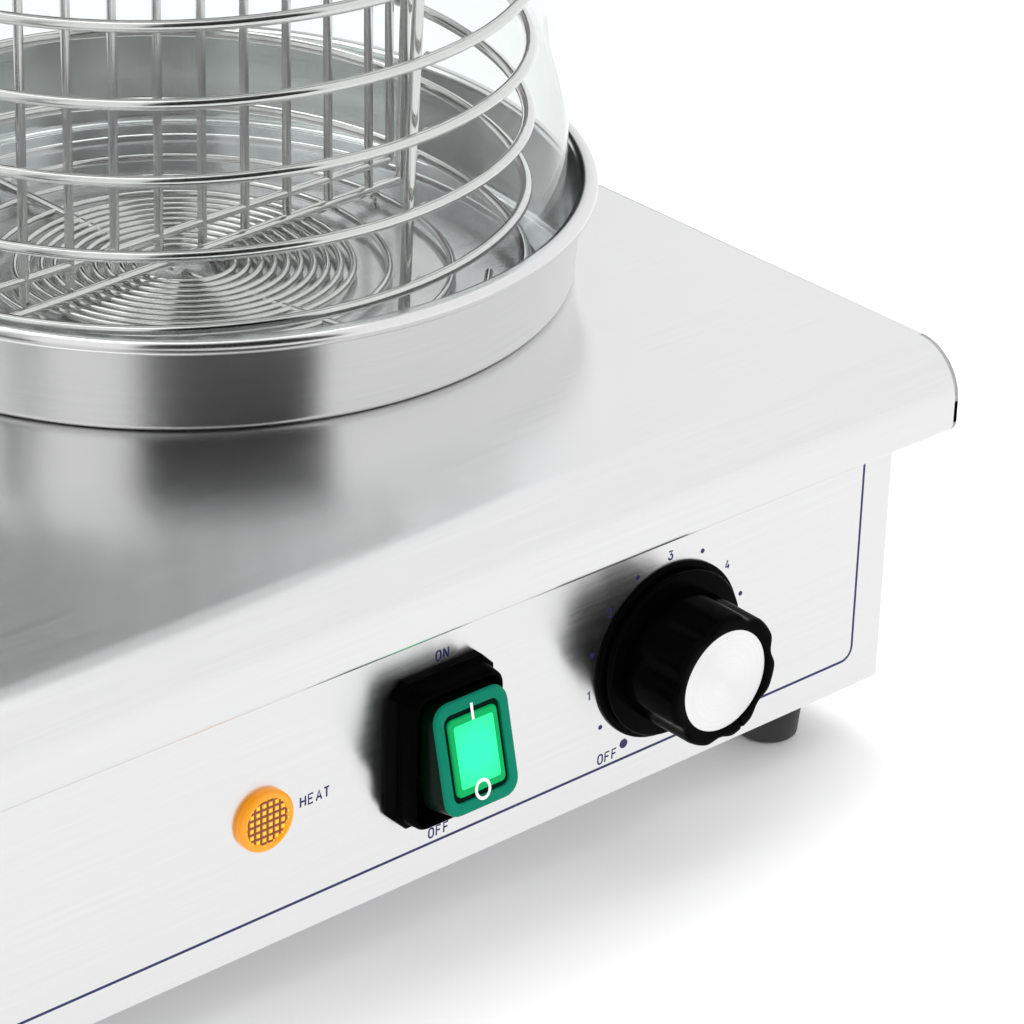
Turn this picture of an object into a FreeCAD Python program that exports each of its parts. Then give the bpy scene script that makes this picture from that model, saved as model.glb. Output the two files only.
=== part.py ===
"""Hot dog spike machine: a stainless base with a steam basket and four heated bun spikes.

Millimetres, +Z up, front towards -Y. The origin is the centre of the bounding box's bottom.
"""
import FreeCAD
import Part
import math
import os

V = FreeCAD.Vector
UP = V(0, 0, 1)

# Sheet metal casing
SHEET = 1.2
BASE_WIDTH = 500.0
BASE_DEPTH = 286.0
BODY_HEIGHT = 101.0
FOOT_HEIGHT = 19.0
BULLNOSE_RADIUS = 13.8
TOP_SKIRT = 23.0
LIP_RADIUS = 3.3
PANEL_SETBACK = 18.6
PANEL_BEND = 2.4
TRAY_EDGE = 12.0
TRAY_CORNER_GAP = 1.0
SCREW_RADIUS = 1.5
SCREW_HOLE_CLEARANCE = 0.1
SCREW_HEAD_RADIUS = 3.0
SCREW_HEAD_HEIGHT = 1.1
SCREW_LENGTH = 8.0
SIDE_SCREW_INSET = 40.0
VENT_LENGTH = 44.0
VENT_WIDTH = 4.0
VENT_PITCH = 9.0
VENT_ROWS = 4
REAR_VENT_SPREAD = 120.0
TRAY_VENT_COUNT = 6

# Rubber feet
FOOT_TOP_RADIUS = 10.0
FOOT_BOTTOM_RADIUS = 8.25
FOOT_INSET = 21.8
FOOT_RECESS_RADIUS = 4.6
FOOT_RECESS_DEPTH = 8.0
FOOT_SCREW_RADIUS = 2.0
FOOT_HEAD_RADIUS = 3.8
FOOT_HEAD_HEIGHT = 2.6
FOOT_NUT_WIDTH = 7.0
FOOT_NUT_HEIGHT = 3.2
BOLT_CLEARANCE = 0.1

# Supply cord entry
GLAND_OUT = 18.0
GLAND_X = -150.0
GLAND_HEIGHT = 32.0
GLAND_THREAD_RADIUS = 7.9
GLAND_BORE = 4.0
GLAND_HEX = 19.0
GLAND_HEX_HEIGHT = 5.0
GLAND_CAP_RADIUS = 9.4
GLAND_INSIDE = 9.0
LOCKNUT_HEIGHT = 4.0

# Control positions, from the pan's axis and the top sheet
CONTROL_DROP = 65.3
LAMP_OFFSET = -91.1
SWITCH_OFFSET = -38.0
SWITCH_DROP = 62.9
DIAL_OFFSET = 38.05

# Thermostat and its knob
SHAFT_RADIUS = 3.0
SHAFT_FLAT = 1.0
SHAFT_CLEARANCE = 0.05
SHAFT_OUT = 17.0
SHAFT_INSIDE = 12.0
BEZEL_RADIUS = 24.0
BEZEL_THICKNESS = 1.2
KNOB_GAP = 0.3
SKIRT_RADIUS = 22.4
SKIRT_FACE = 3.65
SKIRT_HOLLOW_RADIUS = 20.0
SKIRT_HOLLOW_DEPTH = 1.0
GRIP_RADIUS = 17.8
GRIP_LOBES = 7
FLUTE_DEPTH = 1.4
FLUTE_RADIUS = 8.0
KNOB_OUT = 21.6
INSERT_RADIUS = 13.8
INSERT_THICKNESS = 1.2
INSERT_RECESS = 0.3
POINTER_ANGLE = 156.5
POINTER_WIDTH = 1.5
POINTER_DEPTH = 1.3
THERMOSTAT_SIZE = 34.0
THERMOSTAT_DEPTH = 26.0
THERMOSTAT_SCREW_PITCH = 28.0
BUSH_RADIUS = 4.8

# Splash-proof rocker switch
SWITCH_WIDTH = 30.5
SWITCH_HEIGHT = 40.0
SWITCH_FLANGE = 3.3
SWITCH_CHAMFER = 3.6
COLLAR_WIDTH = 28.0
COLLAR_HEIGHT = 37.2
COLLAR_OUT = 8.5
COLLAR_WALL = 1.4
CAVITY_FLOOR = 0.5
CUTOUT_WIDTH = 22.0
CUTOUT_HEIGHT = 30.0
SWITCH_DEPTH = 26.0
ROCKER_WIDTH = 23.2
ROCKER_LENGTH = 28.6
ROCKER_RISE = 12.8
ROCKER_TILT = 13.4
ROCKER_PIVOT_OUT = 2.5
ROCKER_CORNER = 4.6
ROCKER_SHOULDER = 4.0
ROCKER_ROOT = 12.0
PIVOT_RADIUS = 1.5
LENS_WIDTH = 15.0
LENS_LENGTH = 19.4
LENS_DEPTH = 1.0
LENS_PROUD = 0.25

# Indicator lamp
LAMP_RADIUS = 8.0
LAMP_RIM_OUT = 2.4
LAMP_FACE_RADIUS = 6.0
LAMP_FACE_OUT = 2.9
LAMP_BARREL_RADIUS = 5.9
LAMP_DEPTH = 22.0
LAMP_NUT_RADIUS = 8.5
LAMP_NUT_HEIGHT = 3.0

# Water pan
PAN_TO_RIGHT = 119.3
PAN_TO_FRONT = 167.0
PAN_WALL_RADIUS = 104.3
PAN_FOOT_RADIUS = 102.8
PAN_CORNER = 2.4
PAN_THICKNESS = 1.2
RIM_RADIUS = 2.0
RIM_REACH = 1.95
PAN_HEIGHT = 26.5
RECESS_RADIUS = 92.0
RECESS_DEPTH = 3.0
RECESS_CLEARANCE = 0.6
PAN_STUD_RADIUS = 4.0
PAN_STUD_LENGTH = 24.0

# Heating element under the pan
ELEMENT_RING_RADIUS = 58.0
ELEMENT_TUBE = 3.6
ELEMENT_GAP_ANGLE = 40.0
ELEMENT_LEG = 16.0
CLAMP_RADIUS = 74.0
CLAMP_THICKNESS = 2.0
ELEMENT_NUT_WIDTH = 13.0
ELEMENT_NUT_HEIGHT = 6.5
CUTOUT_BODY_RADIUS = 8.0
CUTOUT_BODY_HEIGHT = 11.0
CUTOUT_X = 36.0
CUTOUT_EAR_REACH = 12.0
CUTOUT_EAR_HALF = 4.0
CUTOUT_EAR_THICKNESS = 1.0
CUTOUT_TAB_LENGTH = 6.0
CUTOUT_TAB_HALF = 3.0
CUTOUT_TAB_SHEET = 0.8
PROBE_RADIUS = 3.0
PROBE_LENGTH = 70.0
PROBE_Y = -34.0
CAPILLARY_RADIUS = 0.8
CAPILLARY_X = 6.0
CAPILLARY_BEND = 12.0

# Glass cylinder
GLASS_RADIUS = 100.0
GLASS_WALL = 3.0
GLASS_HEIGHT = 240.0

# Wire basket
SIDE_WIRE = 1.5
FLOOR_WIRE = 1.0
FRAME_WIRE = 1.5
WELD_GAP = 0.05
COIL_RADIUS = 87.3
COIL_FLARE = 0.45
COIL_PITCH = 19.6
COIL_START_ANGLE = -131.8
COIL_TURNS = 10
COIL_START_HEIGHT = 1.2
BASKET_SKIN = 1.0
POST_ANGLE = 5.0
POST_BEND = 5.0
SPIRAL_ANGLE = -42.0
SPIRAL_START = 10.3
SPIRAL_PITCH = 3.42
SPIRAL_TURNS = 10
WIDE_RINGS = (53.6, 69.7, 78.8)
GAP_STEP = 1.5
GRIP_LOOP_WIDTH = 26.0
GRIP_LOOP_RISE = 20.0
GRIP_LOOP_DROP = 16.0
GRIP_LOOP_BEND = 9.0

# Divider grid
DIVIDER_ANGLE = 3.0
DIVIDER_HALF = 80.6
DIVIDER_HEIGHT = 196.0
DIVIDER_WIRE = 1.25
DIVIDER_BARS = 10
DIVIDER_BEND = 8.0
BODY_GAP = 0.3

# Lid
LID_OVERHANG = 2.8
LID_SHELF = 9.0
LID_RING_GAP = 2.5
LID_RING_DEPTH = 6.0
LID_DOME = 13.0
LID_HOLE_RADIUS = 2.5
LID_HOLE_CIRCLE = 55.0
LID_HOLES = 3
LID_KNOB_RADIUS = 17.0
LID_KNOB_HEIGHT = 24.0
LID_KNOB_FOOT = 10.0
LID_SEAT = 12.0
LID_KNOB_FLAT = 3.0
LID_SCREW_RADIUS = 2.5
LID_SCREW_HEAD = 4.5
LID_SCREW_LENGTH = 14.0

# Bun spikes
SPIKE_RADIUS = 11.0
SPIKE_HEIGHT = 215.0
SPIKE_TIP = 26.0
SPIKE_TIP_RADIUS = 4.0
SPIKE_PITCH_X = 110.0
SPIKE_PITCH_Y = 100.0
SPIKE_BORE = 5.2
SPIKE_STUD_RADIUS = 5.0
SPIKE_STUD_LENGTH = 14.0
LEAD_BORE = 2.4
SPIKE_COLLAR_RADIUS = 20.0
SPIKE_COLLAR_HEIGHT = 12.0
SPIKE_SEAT_DEPTH = 4.0
SPIKE_NUT_WIDTH = 16.0
SPIKE_NUT_HEIGHT = 6.0
CARTRIDGE_RADIUS = 5.0
CARTRIDGE_LENGTH = 125.0

# Terminal block and wiring
BLOCK_LENGTH = 60.0
BLOCK_DEPTH = 20.0
BLOCK_HEIGHT = 17.0
BLOCK_X = -100.0
BLOCK_Y = 92.0
WIRE_RADIUS = 1.4
WIRE_BEND = 7.0
LEAD_FIRST_LEVEL = 20.0
LEAD_LEVEL_STEP = -26.0
STAT_TAB_OFFSET = 8.0
SWITCH_TAB_X = 3.0
SWITCH_TAB_Z = 12.0
EARTH_NUT_WIDTH = 8.0
EARTH_NUT_HEIGHT = 4.0
EARTH_STUD_RADIUS = 2.5
EARTH_STUD_HEIGHT = 16.0

# Places that follow from the sizes above
TOP_Z = FOOT_HEIGHT + BODY_HEIGHT
UNDER_TOP = TOP_Z - SHEET
KNOB_OVERREACH = KNOB_OUT - PANEL_SETBACK
FRONT_Y = (KNOB_OVERREACH - BASE_DEPTH - GLAND_OUT) / 2
BACK_Y = FRONT_Y + BASE_DEPTH
PANEL_Y = FRONT_Y + PANEL_SETBACK
SIDE_X = BASE_WIDTH / 2
SHELL_X = SIDE_X - SHEET
INNER_X = SHELL_X - SHEET
REAR_FACE_Y = BACK_Y - SHEET
REAR_INNER_Y = REAR_FACE_Y - SHEET
PANEL_INNER_Y = PANEL_Y + SHEET
TRAY_TOP = FOOT_HEIGHT + SHEET
PAN_X = SIDE_X - PAN_TO_RIGHT
PAN_Y = FRONT_Y + PAN_TO_FRONT
PAN_FLOOR = TOP_Z + PAN_THICKNESS
RECESS_FLOOR = PAN_FLOOR - RECESS_DEPTH
PAN_UNDERSIDE = TOP_Z - RECESS_DEPTH
LAMP_X = PAN_X + LAMP_OFFSET
SWITCH_X = PAN_X + SWITCH_OFFSET
DIAL_X = PAN_X + DIAL_OFFSET
CONTROL_Z = TOP_Z - CONTROL_DROP
SWITCH_Z = TOP_Z - SWITCH_DROP
FRAME_Z = RECESS_FLOOR + FRAME_WIRE + WELD_GAP
SPIRAL_Z = FRAME_Z + FRAME_WIRE + FLOOR_WIRE + WELD_GAP
GLASS_TOP = PAN_FLOOR + GLASS_HEIGHT
SPIKE_X = (-SIDE_X + PAN_X - PAN_WALL_RADIUS) / 2
SPIKE_Y = (FRONT_Y + BULLNOSE_RADIUS + BACK_Y) / 2
COLLAR_TOP = TOP_Z + SPIKE_COLLAR_HEIGHT
CLAMP_TOP = PAN_UNDERSIDE - 2 * ELEMENT_TUBE


def box(x0, x1, y0, y1, z0, z1):
    """Solid block between two corners."""
    return Part.makeBox(x1 - x0, y1 - y0, z1 - z0, V(x0, y0, z0))


def cylinder(base, axis, radius, length):
    """Solid cylinder from its base point along an axis."""
    return Part.makeCylinder(radius, length, base, axis)


def tube(base, axis, outer, inner, length):
    """Cylinder with a through bore."""
    return cylinder(base, axis, outer, length).cut(cylinder(base, axis, inner, length))


def hexagon(base, axis, across_flats, height):
    """Hexagonal prism whose axis is Y or Z."""
    corner = across_flats / math.sqrt(3)
    side = V(1, 0, 0)
    other = axis.cross(side)
    points = []
    for k in range(7):
        angle = math.radians(60 * k)
        points.append(base + side * (corner * math.cos(angle)) + other * (corner * math.sin(angle)))
    return Part.Face(Part.makePolygon(points)).extrude(axis * height)


def line(a, b):
    return Part.LineSegment(a, b).toShape()


def arc(a, middle, b):
    return Part.Arc(a, middle, b).toShape()


def revolved(edges, centre):
    """Solid of revolution about the vertical axis through centre, from edges drawn in the XZ plane."""
    profile = Part.Face(Part.Wire(edges))
    solid = profile.revolve(V(0, 0, 0), UP, 360)
    solid.translate(centre)
    return solid


def polygon_edges(points):
    """Closed loop of straight edges through (x, z) points."""
    corners = [V(x, 0, z) for x, z in points]
    return [line(corners[k - 1], corners[k]) for k in range(len(corners))]


def rounded_path(points, radius):
    """Edges along points, with a tangent arc at each inner point."""
    edges = []
    start = points[0]
    for k in range(1, len(points) - 1):
        before = (points[k - 1] - points[k]).normalize()
        after = (points[k + 1] - points[k]).normalize()
        half = before.getAngle(after) / 2
        reach = radius / math.tan(half)
        bisector = (before + after).normalize()
        first = points[k] + before * reach
        last = points[k] + after * reach
        middle = points[k] + bisector * (radius / math.sin(half) - radius)
        edges.append(line(start, first))
        edges.append(arc(first, middle, last))
        start = last
    edges.append(line(start, points[-1]))
    return edges


def wire_along(edges, radius):
    """Round wire swept along joined edges."""
    path = Part.Wire(edges)
    first = path.OrderedEdges[0]
    start = first.valueAt(first.FirstParameter)
    ahead = first.tangentAt(first.FirstParameter)
    if first.Orientation == "Reversed":
        start = first.valueAt(first.LastParameter)
        ahead = first.tangentAt(first.LastParameter) * -1
    section = Part.Wire([Part.makeCircle(radius, start, ahead)])
    return path.makePipeShell([section], True, False)


def least_gap(edges, radius):
    """Smallest clear distance between two turns of one wire, measured between points on its path."""
    path = Part.Wire(edges)
    points = path.discretize(Number=int(path.Length / GAP_STEP))
    apart = int(20 * radius / GAP_STEP)
    nearest = path.Length
    for i, a in enumerate(points):
        for b in points[i + apart:]:
            if abs(a.x - b.x) < nearest and abs(a.y - b.y) < nearest:
                nearest = min(nearest, a.distanceToPoint(b))
    return nearest - 2 * radius


def polar(angle, radius, z):
    """Point about the pan's axis."""
    a = math.radians(angle)
    return V(PAN_X + radius * math.cos(a), PAN_Y + radius * math.sin(a), z)


def clockwise(angle):
    """Direction on the front panel, clockwise from the top as seen from the front."""
    a = math.radians(angle)
    return V(math.sin(a), 0, math.cos(a))


def slot(centre, length, width, depth, along):
    """Round-ended slot cutter through a sheet, across X or Y, with its long side along Z or X."""
    half = (length - width) / 2
    if along == "x":
        through = V(0, 1, 0)
        offset = V(half, 0, 0)
        block = box(-half, half, -depth / 2, depth / 2, -width / 2, width / 2)
    else:
        through = V(1, 0, 0)
        offset = V(0, 0, half)
        block = box(-depth / 2, depth / 2, -width / 2, width / 2, -half, half)
    start = through * (-depth / 2)
    ends = [cylinder(start + offset, through, width / 2, depth)]
    ends.append(cylinder(start - offset, through, width / 2, depth))
    cutter = block.fuse(ends)
    cutter.translate(centre)
    return cutter


def rounded_block(x0, x1, y0, y1, z0, z1, radius):
    """Block whose edges along Y are rounded."""
    block = box(x0, x1, y0, y1, z0, z1)
    edges = [e for e in block.Edges if abs(e.tangentAt(0).y) > 0.99]
    return block.makeFillet(radius, edges)


def spike_places():
    places = []
    for row in (-1, 1):
        for column in (-1, 1):
            places.append((SPIKE_X + column * SPIKE_PITCH_X / 2, SPIKE_Y + row * SPIKE_PITCH_Y / 2))
    return places


def foot_places():
    x = SIDE_X - FOOT_INSET
    front = PANEL_Y + FOOT_INSET - SHEET
    rear = BACK_Y - FOOT_INSET
    return {
        "foot_front_left": (-x, front),
        "foot_front_right": (x, front),
        "foot_rear_left": (-x, rear),
        "foot_rear_right": (x, rear),
    }


def side_screw_places():
    """Screws through the sides and the back into the tray's edges: point on the sheet, way in."""
    z = FOOT_HEIGHT + TRAY_EDGE / 2
    places = []
    for side in (-1, 1):
        for y in (PANEL_Y + SIDE_SCREW_INSET, (PANEL_Y + BACK_Y) / 2, BACK_Y - SIDE_SCREW_INSET):
            places.append((V(side * SHELL_X, y, z), V(-side, 0, 0)))
        places.append((V(side * (INNER_X - SIDE_SCREW_INSET), REAR_FACE_Y, z), V(0, -1, 0)))
    return places


def screw_hole(point, inward):
    radius = SCREW_RADIUS + SCREW_HOLE_CLEARANCE
    return cylinder(point - inward * SHEET, inward, radius, 5 * SHEET)


def top_section(inset):
    """Side outline of the top sheet, moved inwards by inset, as a face in the YZ plane."""
    lip_bottom = TOP_Z - TOP_SKIRT
    front = FRONT_Y + inset
    top = TOP_Z - inset
    back = BACK_Y - inset
    bull = BULLNOSE_RADIUS - inset
    lip = LIP_RADIUS - inset
    low = lip_bottom + inset
    root = math.sqrt(0.5)
    bull_y = FRONT_Y + BULLNOSE_RADIUS
    bull_z = TOP_Z - BULLNOSE_RADIUS
    lip_y = FRONT_Y + LIP_RADIUS
    lip_z = lip_bottom + LIP_RADIUS

    def at(y, z):
        return V(-SIDE_X, y, z)

    edges = [
        line(at(back, lip_bottom), at(back, top)),
        line(at(back, top), at(bull_y, top)),
        arc(at(bull_y, top), at(bull_y - bull * root, bull_z + bull * root), at(front, bull_z)),
        line(at(front, bull_z), at(front, lip_z)),
        arc(at(front, lip_z), at(lip_y - lip * root, lip_z - lip * root), at(lip_y, low)),
        line(at(lip_y, low), at(PANEL_Y, low)),
    ]
    if inset:
        edges.append(line(at(PANEL_Y, low), at(PANEL_Y, lip_bottom)))
    edges.append(line(at(PANEL_Y, lip_bottom), at(back, lip_bottom)))
    return Part.Face(Part.Wire(edges))


def make_top_plate():
    outside = top_section(0).extrude(V(BASE_WIDTH, 0, 0))
    inside = top_section(SHEET).extrude(V(BASE_WIDTH - 2 * SHEET, 0, 0))
    inside.translate(V(SHEET, 0, 0))
    sheet = outside.cut(inside)
    cuts = [cylinder(V(PAN_X, PAN_Y, UNDER_TOP), UP, RECESS_RADIUS + RECESS_CLEARANCE, SHEET)]
    for x, y in spike_places():
        cuts.append(cylinder(V(x, y, UNDER_TOP), UP, SPIKE_STUD_RADIUS + BOLT_CLEARANCE, SHEET))
    return sheet.cut(cuts)


def vertical_fillets(solid, radius, y):
    """Round the vertical edges that lie at one depth."""
    edges = []
    for e in solid.Edges:
        upright = abs(e.tangentAt(0).z) > 0.99
        if upright and abs(e.CenterOfMass.y - y) < 0.01:
            edges.append(e)
    return solid.makeFillet(radius, edges)


def make_body_shell():
    outside = box(-SHELL_X, SHELL_X, PANEL_Y, REAR_FACE_Y, FOOT_HEIGHT, UNDER_TOP)
    outside = vertical_fillets(outside, PANEL_BEND, PANEL_Y)
    inside = box(-INNER_X, INNER_X, PANEL_INNER_Y, REAR_FACE_Y, FOOT_HEIGHT, UNDER_TOP)
    inside = vertical_fillets(inside, PANEL_BEND - SHEET, PANEL_INNER_Y)
    cuts = [inside]
    hole_depth = 2 * SHEET
    inward = V(0, 1, 0)
    front = V(0, PANEL_Y - SHEET / 2, 0)
    cuts.append(cylinder(front + V(LAMP_X, 0, CONTROL_Z), inward, LAMP_BARREL_RADIUS + BOLT_CLEARANCE,
                         hole_depth))
    cuts.append(cylinder(front + V(DIAL_X, 0, CONTROL_Z), inward, BUSH_RADIUS + BOLT_CLEARANCE,
                         hole_depth))
    for point in thermostat_screw_points():
        cuts.append(cylinder(front + point, inward, SCREW_RADIUS + SCREW_HOLE_CLEARANCE, hole_depth))
    half_w = CUTOUT_WIDTH / 2
    half_h = CUTOUT_HEIGHT / 2
    cuts.append(box(SWITCH_X - half_w, SWITCH_X + half_w, PANEL_Y - SHEET, PANEL_INNER_Y + SHEET,
                    SWITCH_Z - half_h, SWITCH_Z + half_h))
    middle_y = (PANEL_Y + BACK_Y) / 2
    middle_z = FOOT_HEIGHT + BODY_HEIGHT / 2
    for side in (-1, 1):
        for k in range(VENT_ROWS):
            y = middle_y + (k - (VENT_ROWS - 1) / 2) * VENT_PITCH
            cuts.append(slot(V(side * SHELL_X, y, middle_z), VENT_LENGTH, VENT_WIDTH, 6 * SHEET, "z"))
    for point, way in side_screw_places():
        if way.x:
            cuts.append(screw_hole(point, way))
    return outside.cut(cuts)


def make_rear_panel():
    plate = box(-INNER_X, INNER_X, REAR_INNER_Y, REAR_FACE_Y, FOOT_HEIGHT, UNDER_TOP)
    flange_low = TRAY_TOP + TRAY_EDGE + TRAY_CORNER_GAP
    flanges = []
    for side in (-1, 1):
        x0 = min(side * INNER_X, side * (INNER_X - SHEET))
        flanges.append(box(x0, x0 + SHEET, REAR_INNER_Y - TRAY_EDGE, REAR_INNER_Y, flange_low, UNDER_TOP))
    panel = plate.fuse(flanges)
    middle_z = FOOT_HEIGHT + BODY_HEIGHT / 2
    cuts = []
    for column in (-1, 1):
        for k in range(VENT_ROWS):
            z = middle_z + (k - (VENT_ROWS - 1) / 2) * VENT_PITCH
            centre = V(column * REAR_VENT_SPREAD / 2, REAR_FACE_Y, z)
            cuts.append(slot(centre, VENT_LENGTH, VENT_WIDTH, 6 * SHEET, "x"))
    gland = V(GLAND_X, REAR_INNER_Y - SHEET, FOOT_HEIGHT + GLAND_HEIGHT)
    cuts.append(cylinder(gland, V(0, 1, 0), GLAND_THREAD_RADIUS + BOLT_CLEARANCE, 4 * SHEET))
    for point, way in side_screw_places():
        if way.y:
            cuts.append(screw_hole(point, way))
    return panel.cut(cuts)


def make_bottom_plate():
    outside = box(-INNER_X, INNER_X, PANEL_INNER_Y, REAR_INNER_Y, FOOT_HEIGHT, FOOT_HEIGHT + TRAY_EDGE)
    outside = vertical_fillets(outside, PANEL_BEND - SHEET, PANEL_INNER_Y)
    inside = box(-INNER_X + SHEET, INNER_X - SHEET, PANEL_INNER_Y + SHEET, REAR_INNER_Y - SHEET,
                 TRAY_TOP, FOOT_HEIGHT + TRAY_EDGE)
    cuts = [inside]
    for x, y in foot_places().values():
        base = V(x, y, FOOT_HEIGHT)
        cuts.append(cylinder(base, UP, FOOT_SCREW_RADIUS + BOLT_CLEARANCE, SHEET))
    for k in range(TRAY_VENT_COUNT):
        x = (k - (TRAY_VENT_COUNT - 1) / 2) * VENT_LENGTH * 1.5
        cuts.append(box(x - VENT_LENGTH / 2, x + VENT_LENGTH / 2, -VENT_WIDTH / 2, VENT_WIDTH / 2,
                        FOOT_HEIGHT, TRAY_TOP))
    for point, way in side_screw_places():
        cuts.append(screw_hole(point, way))
    return outside.cut(cuts)


def make_casing_screws():
    screws = []
    for point, inward in side_screw_places():
        head = cylinder(point - inward * SCREW_HEAD_HEIGHT, inward, SCREW_HEAD_RADIUS, SCREW_HEAD_HEIGHT)
        shank = cylinder(point, inward, SCREW_RADIUS, SCREW_LENGTH)
        screws.append(head.fuse(shank))
    return Part.makeCompound(screws)


def make_foot(x, y):
    edges = polygon_edges([
        (FOOT_RECESS_RADIUS, 0),
        (FOOT_BOTTOM_RADIUS - 0.8, 0),
        (FOOT_BOTTOM_RADIUS, 0.8),
        (FOOT_TOP_RADIUS, FOOT_HEIGHT),
        (FOOT_SCREW_RADIUS + BOLT_CLEARANCE, FOOT_HEIGHT),
        (FOOT_SCREW_RADIUS + BOLT_CLEARANCE, FOOT_RECESS_DEPTH),
        (FOOT_RECESS_RADIUS, FOOT_RECESS_DEPTH),
    ])
    return revolved(edges, V(x, y, 0))


def make_foot_screws():
    screws = []
    for x, y in foot_places().values():
        head_base = V(x, y, FOOT_RECESS_DEPTH - FOOT_HEAD_HEIGHT)
        head = cylinder(head_base, UP, FOOT_HEAD_RADIUS, FOOT_HEAD_HEIGHT)
        length = TRAY_TOP + FOOT_NUT_HEIGHT + 2 - FOOT_RECESS_DEPTH
        screws.append(head.fuse(cylinder(V(x, y, FOOT_RECESS_DEPTH), UP, FOOT_SCREW_RADIUS, length)))
    return Part.makeCompound(screws)


def make_foot_nuts():
    nuts = []
    for x, y in foot_places().values():
        nut = hexagon(V(x, y, TRAY_TOP), UP, FOOT_NUT_WIDTH, FOOT_NUT_HEIGHT)
        nuts.append(nut.cut(cylinder(V(x, y, TRAY_TOP), UP, FOOT_SCREW_RADIUS + WELD_GAP, FOOT_NUT_HEIGHT)))
    return Part.makeCompound(nuts)


def gland_centre(y):
    return V(GLAND_X, y, FOOT_HEIGHT + GLAND_HEIGHT)


def make_cable_gland():
    back = V(0, 1, 0)
    body = hexagon(gland_centre(REAR_FACE_Y), back, GLAND_HEX, GLAND_HEX_HEIGHT)
    inside_end = REAR_INNER_Y - GLAND_INSIDE
    body = body.fuse(cylinder(gland_centre(inside_end), back, GLAND_THREAD_RADIUS,
                              REAR_FACE_Y - inside_end))
    return body.cut(cylinder(gland_centre(inside_end), back, GLAND_BORE, BASE_DEPTH))


def make_gland_cap():
    back = V(0, 1, 0)
    start = REAR_FACE_Y + GLAND_HEX_HEIGHT
    length = BACK_Y + GLAND_OUT - start
    cap = cylinder(gland_centre(start), back, GLAND_CAP_RADIUS, length)
    outer = [e for e in cap.Edges if e.BoundBox.YMin > start + length - 0.01]
    cap = cap.makeFillet(length / 3, outer)
    return cap.cut(cylinder(gland_centre(start), back, GLAND_BORE, length))


def make_gland_locknut():
    start = gland_centre(REAR_INNER_Y - LOCKNUT_HEIGHT)
    nut = hexagon(start, V(0, 1, 0), GLAND_HEX, LOCKNUT_HEIGHT)
    return nut.cut(cylinder(start, V(0, 1, 0), GLAND_THREAD_RADIUS + WELD_GAP, LOCKNUT_HEIGHT))


def thermostat_screw_points():
    half = THERMOSTAT_SCREW_PITCH / 2
    return [V(DIAL_X - half, 0, CONTROL_Z), V(DIAL_X + half, 0, CONTROL_Z)]


def dial_point(out):
    """Point on the dial's axis, a distance out from the panel."""
    return V(DIAL_X, PANEL_Y - out, CONTROL_Z)


def make_thermostat_body():
    half = THERMOSTAT_SIZE / 2
    body = rounded_block(DIAL_X - half, DIAL_X + half, PANEL_INNER_Y, PANEL_INNER_Y + THERMOSTAT_DEPTH,
                         CONTROL_Z - half, CONTROL_Z + half, 3)
    bush = cylinder(dial_point(0), V(0, 1, 0), BUSH_RADIUS, SHEET)
    bore_length = SHEET + SHAFT_INSIDE
    cuts = [cylinder(dial_point(0), V(0, 1, 0), SHAFT_RADIUS + SHAFT_CLEARANCE, bore_length)]
    for point in thermostat_screw_points():
        start = point + V(0, PANEL_INNER_Y, 0)
        cuts.append(cylinder(start, V(0, 1, 0), SCREW_RADIUS + WELD_GAP, SCREW_LENGTH))
    return body.fuse(bush).cut(cuts)


def make_thermostat_screws():
    screws = []
    for point in thermostat_screw_points():
        at_panel = point + V(0, PANEL_Y, 0)
        head = cylinder(at_panel, V(0, -1, 0), SCREW_HEAD_RADIUS, BEZEL_THICKNESS)
        screws.append(head.fuse(cylinder(at_panel, V(0, 1, 0), SCREW_RADIUS, SCREW_LENGTH)))
    return Part.makeCompound(screws)


def shaft_solid(clearance, start_out, end_out):
    """The shaft, or its bore with a clearance, flatted where the knob grips it."""
    radius = SHAFT_RADIUS + clearance
    rod = cylinder(dial_point(end_out), V(0, 1, 0), radius, end_out - start_out)
    flat_from = max(start_out, SKIRT_FACE)
    flat_x = DIAL_X + SHAFT_RADIUS - SHAFT_FLAT + clearance
    flat = box(flat_x, flat_x + SHAFT_RADIUS, PANEL_Y - end_out, PANEL_Y - flat_from,
               CONTROL_Z - radius, CONTROL_Z + radius)
    return rod.cut(flat)


def make_thermostat_shaft():
    return shaft_solid(0, 1 - SHEET - SHAFT_INSIDE, SHAFT_OUT)


def make_dial_bezel():
    disc = cylinder(dial_point(0), V(0, -1, 0), BEZEL_RADIUS, BEZEL_THICKNESS)
    rim = [e for e in disc.Edges if e.BoundBox.YMax < PANEL_Y - BEZEL_THICKNESS + 0.01]
    disc = disc.makeFillet(BEZEL_THICKNESS / 2, rim)
    cuts = [cylinder(dial_point(0), V(0, -1, 0), BUSH_RADIUS, BEZEL_THICKNESS)]
    for point in thermostat_screw_points():
        start = point + V(0, PANEL_Y, 0)
        cuts.append(cylinder(start, V(0, -1, 0), SCREW_HEAD_RADIUS + WELD_GAP, BEZEL_THICKNESS))
    return disc.cut(cuts)


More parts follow.
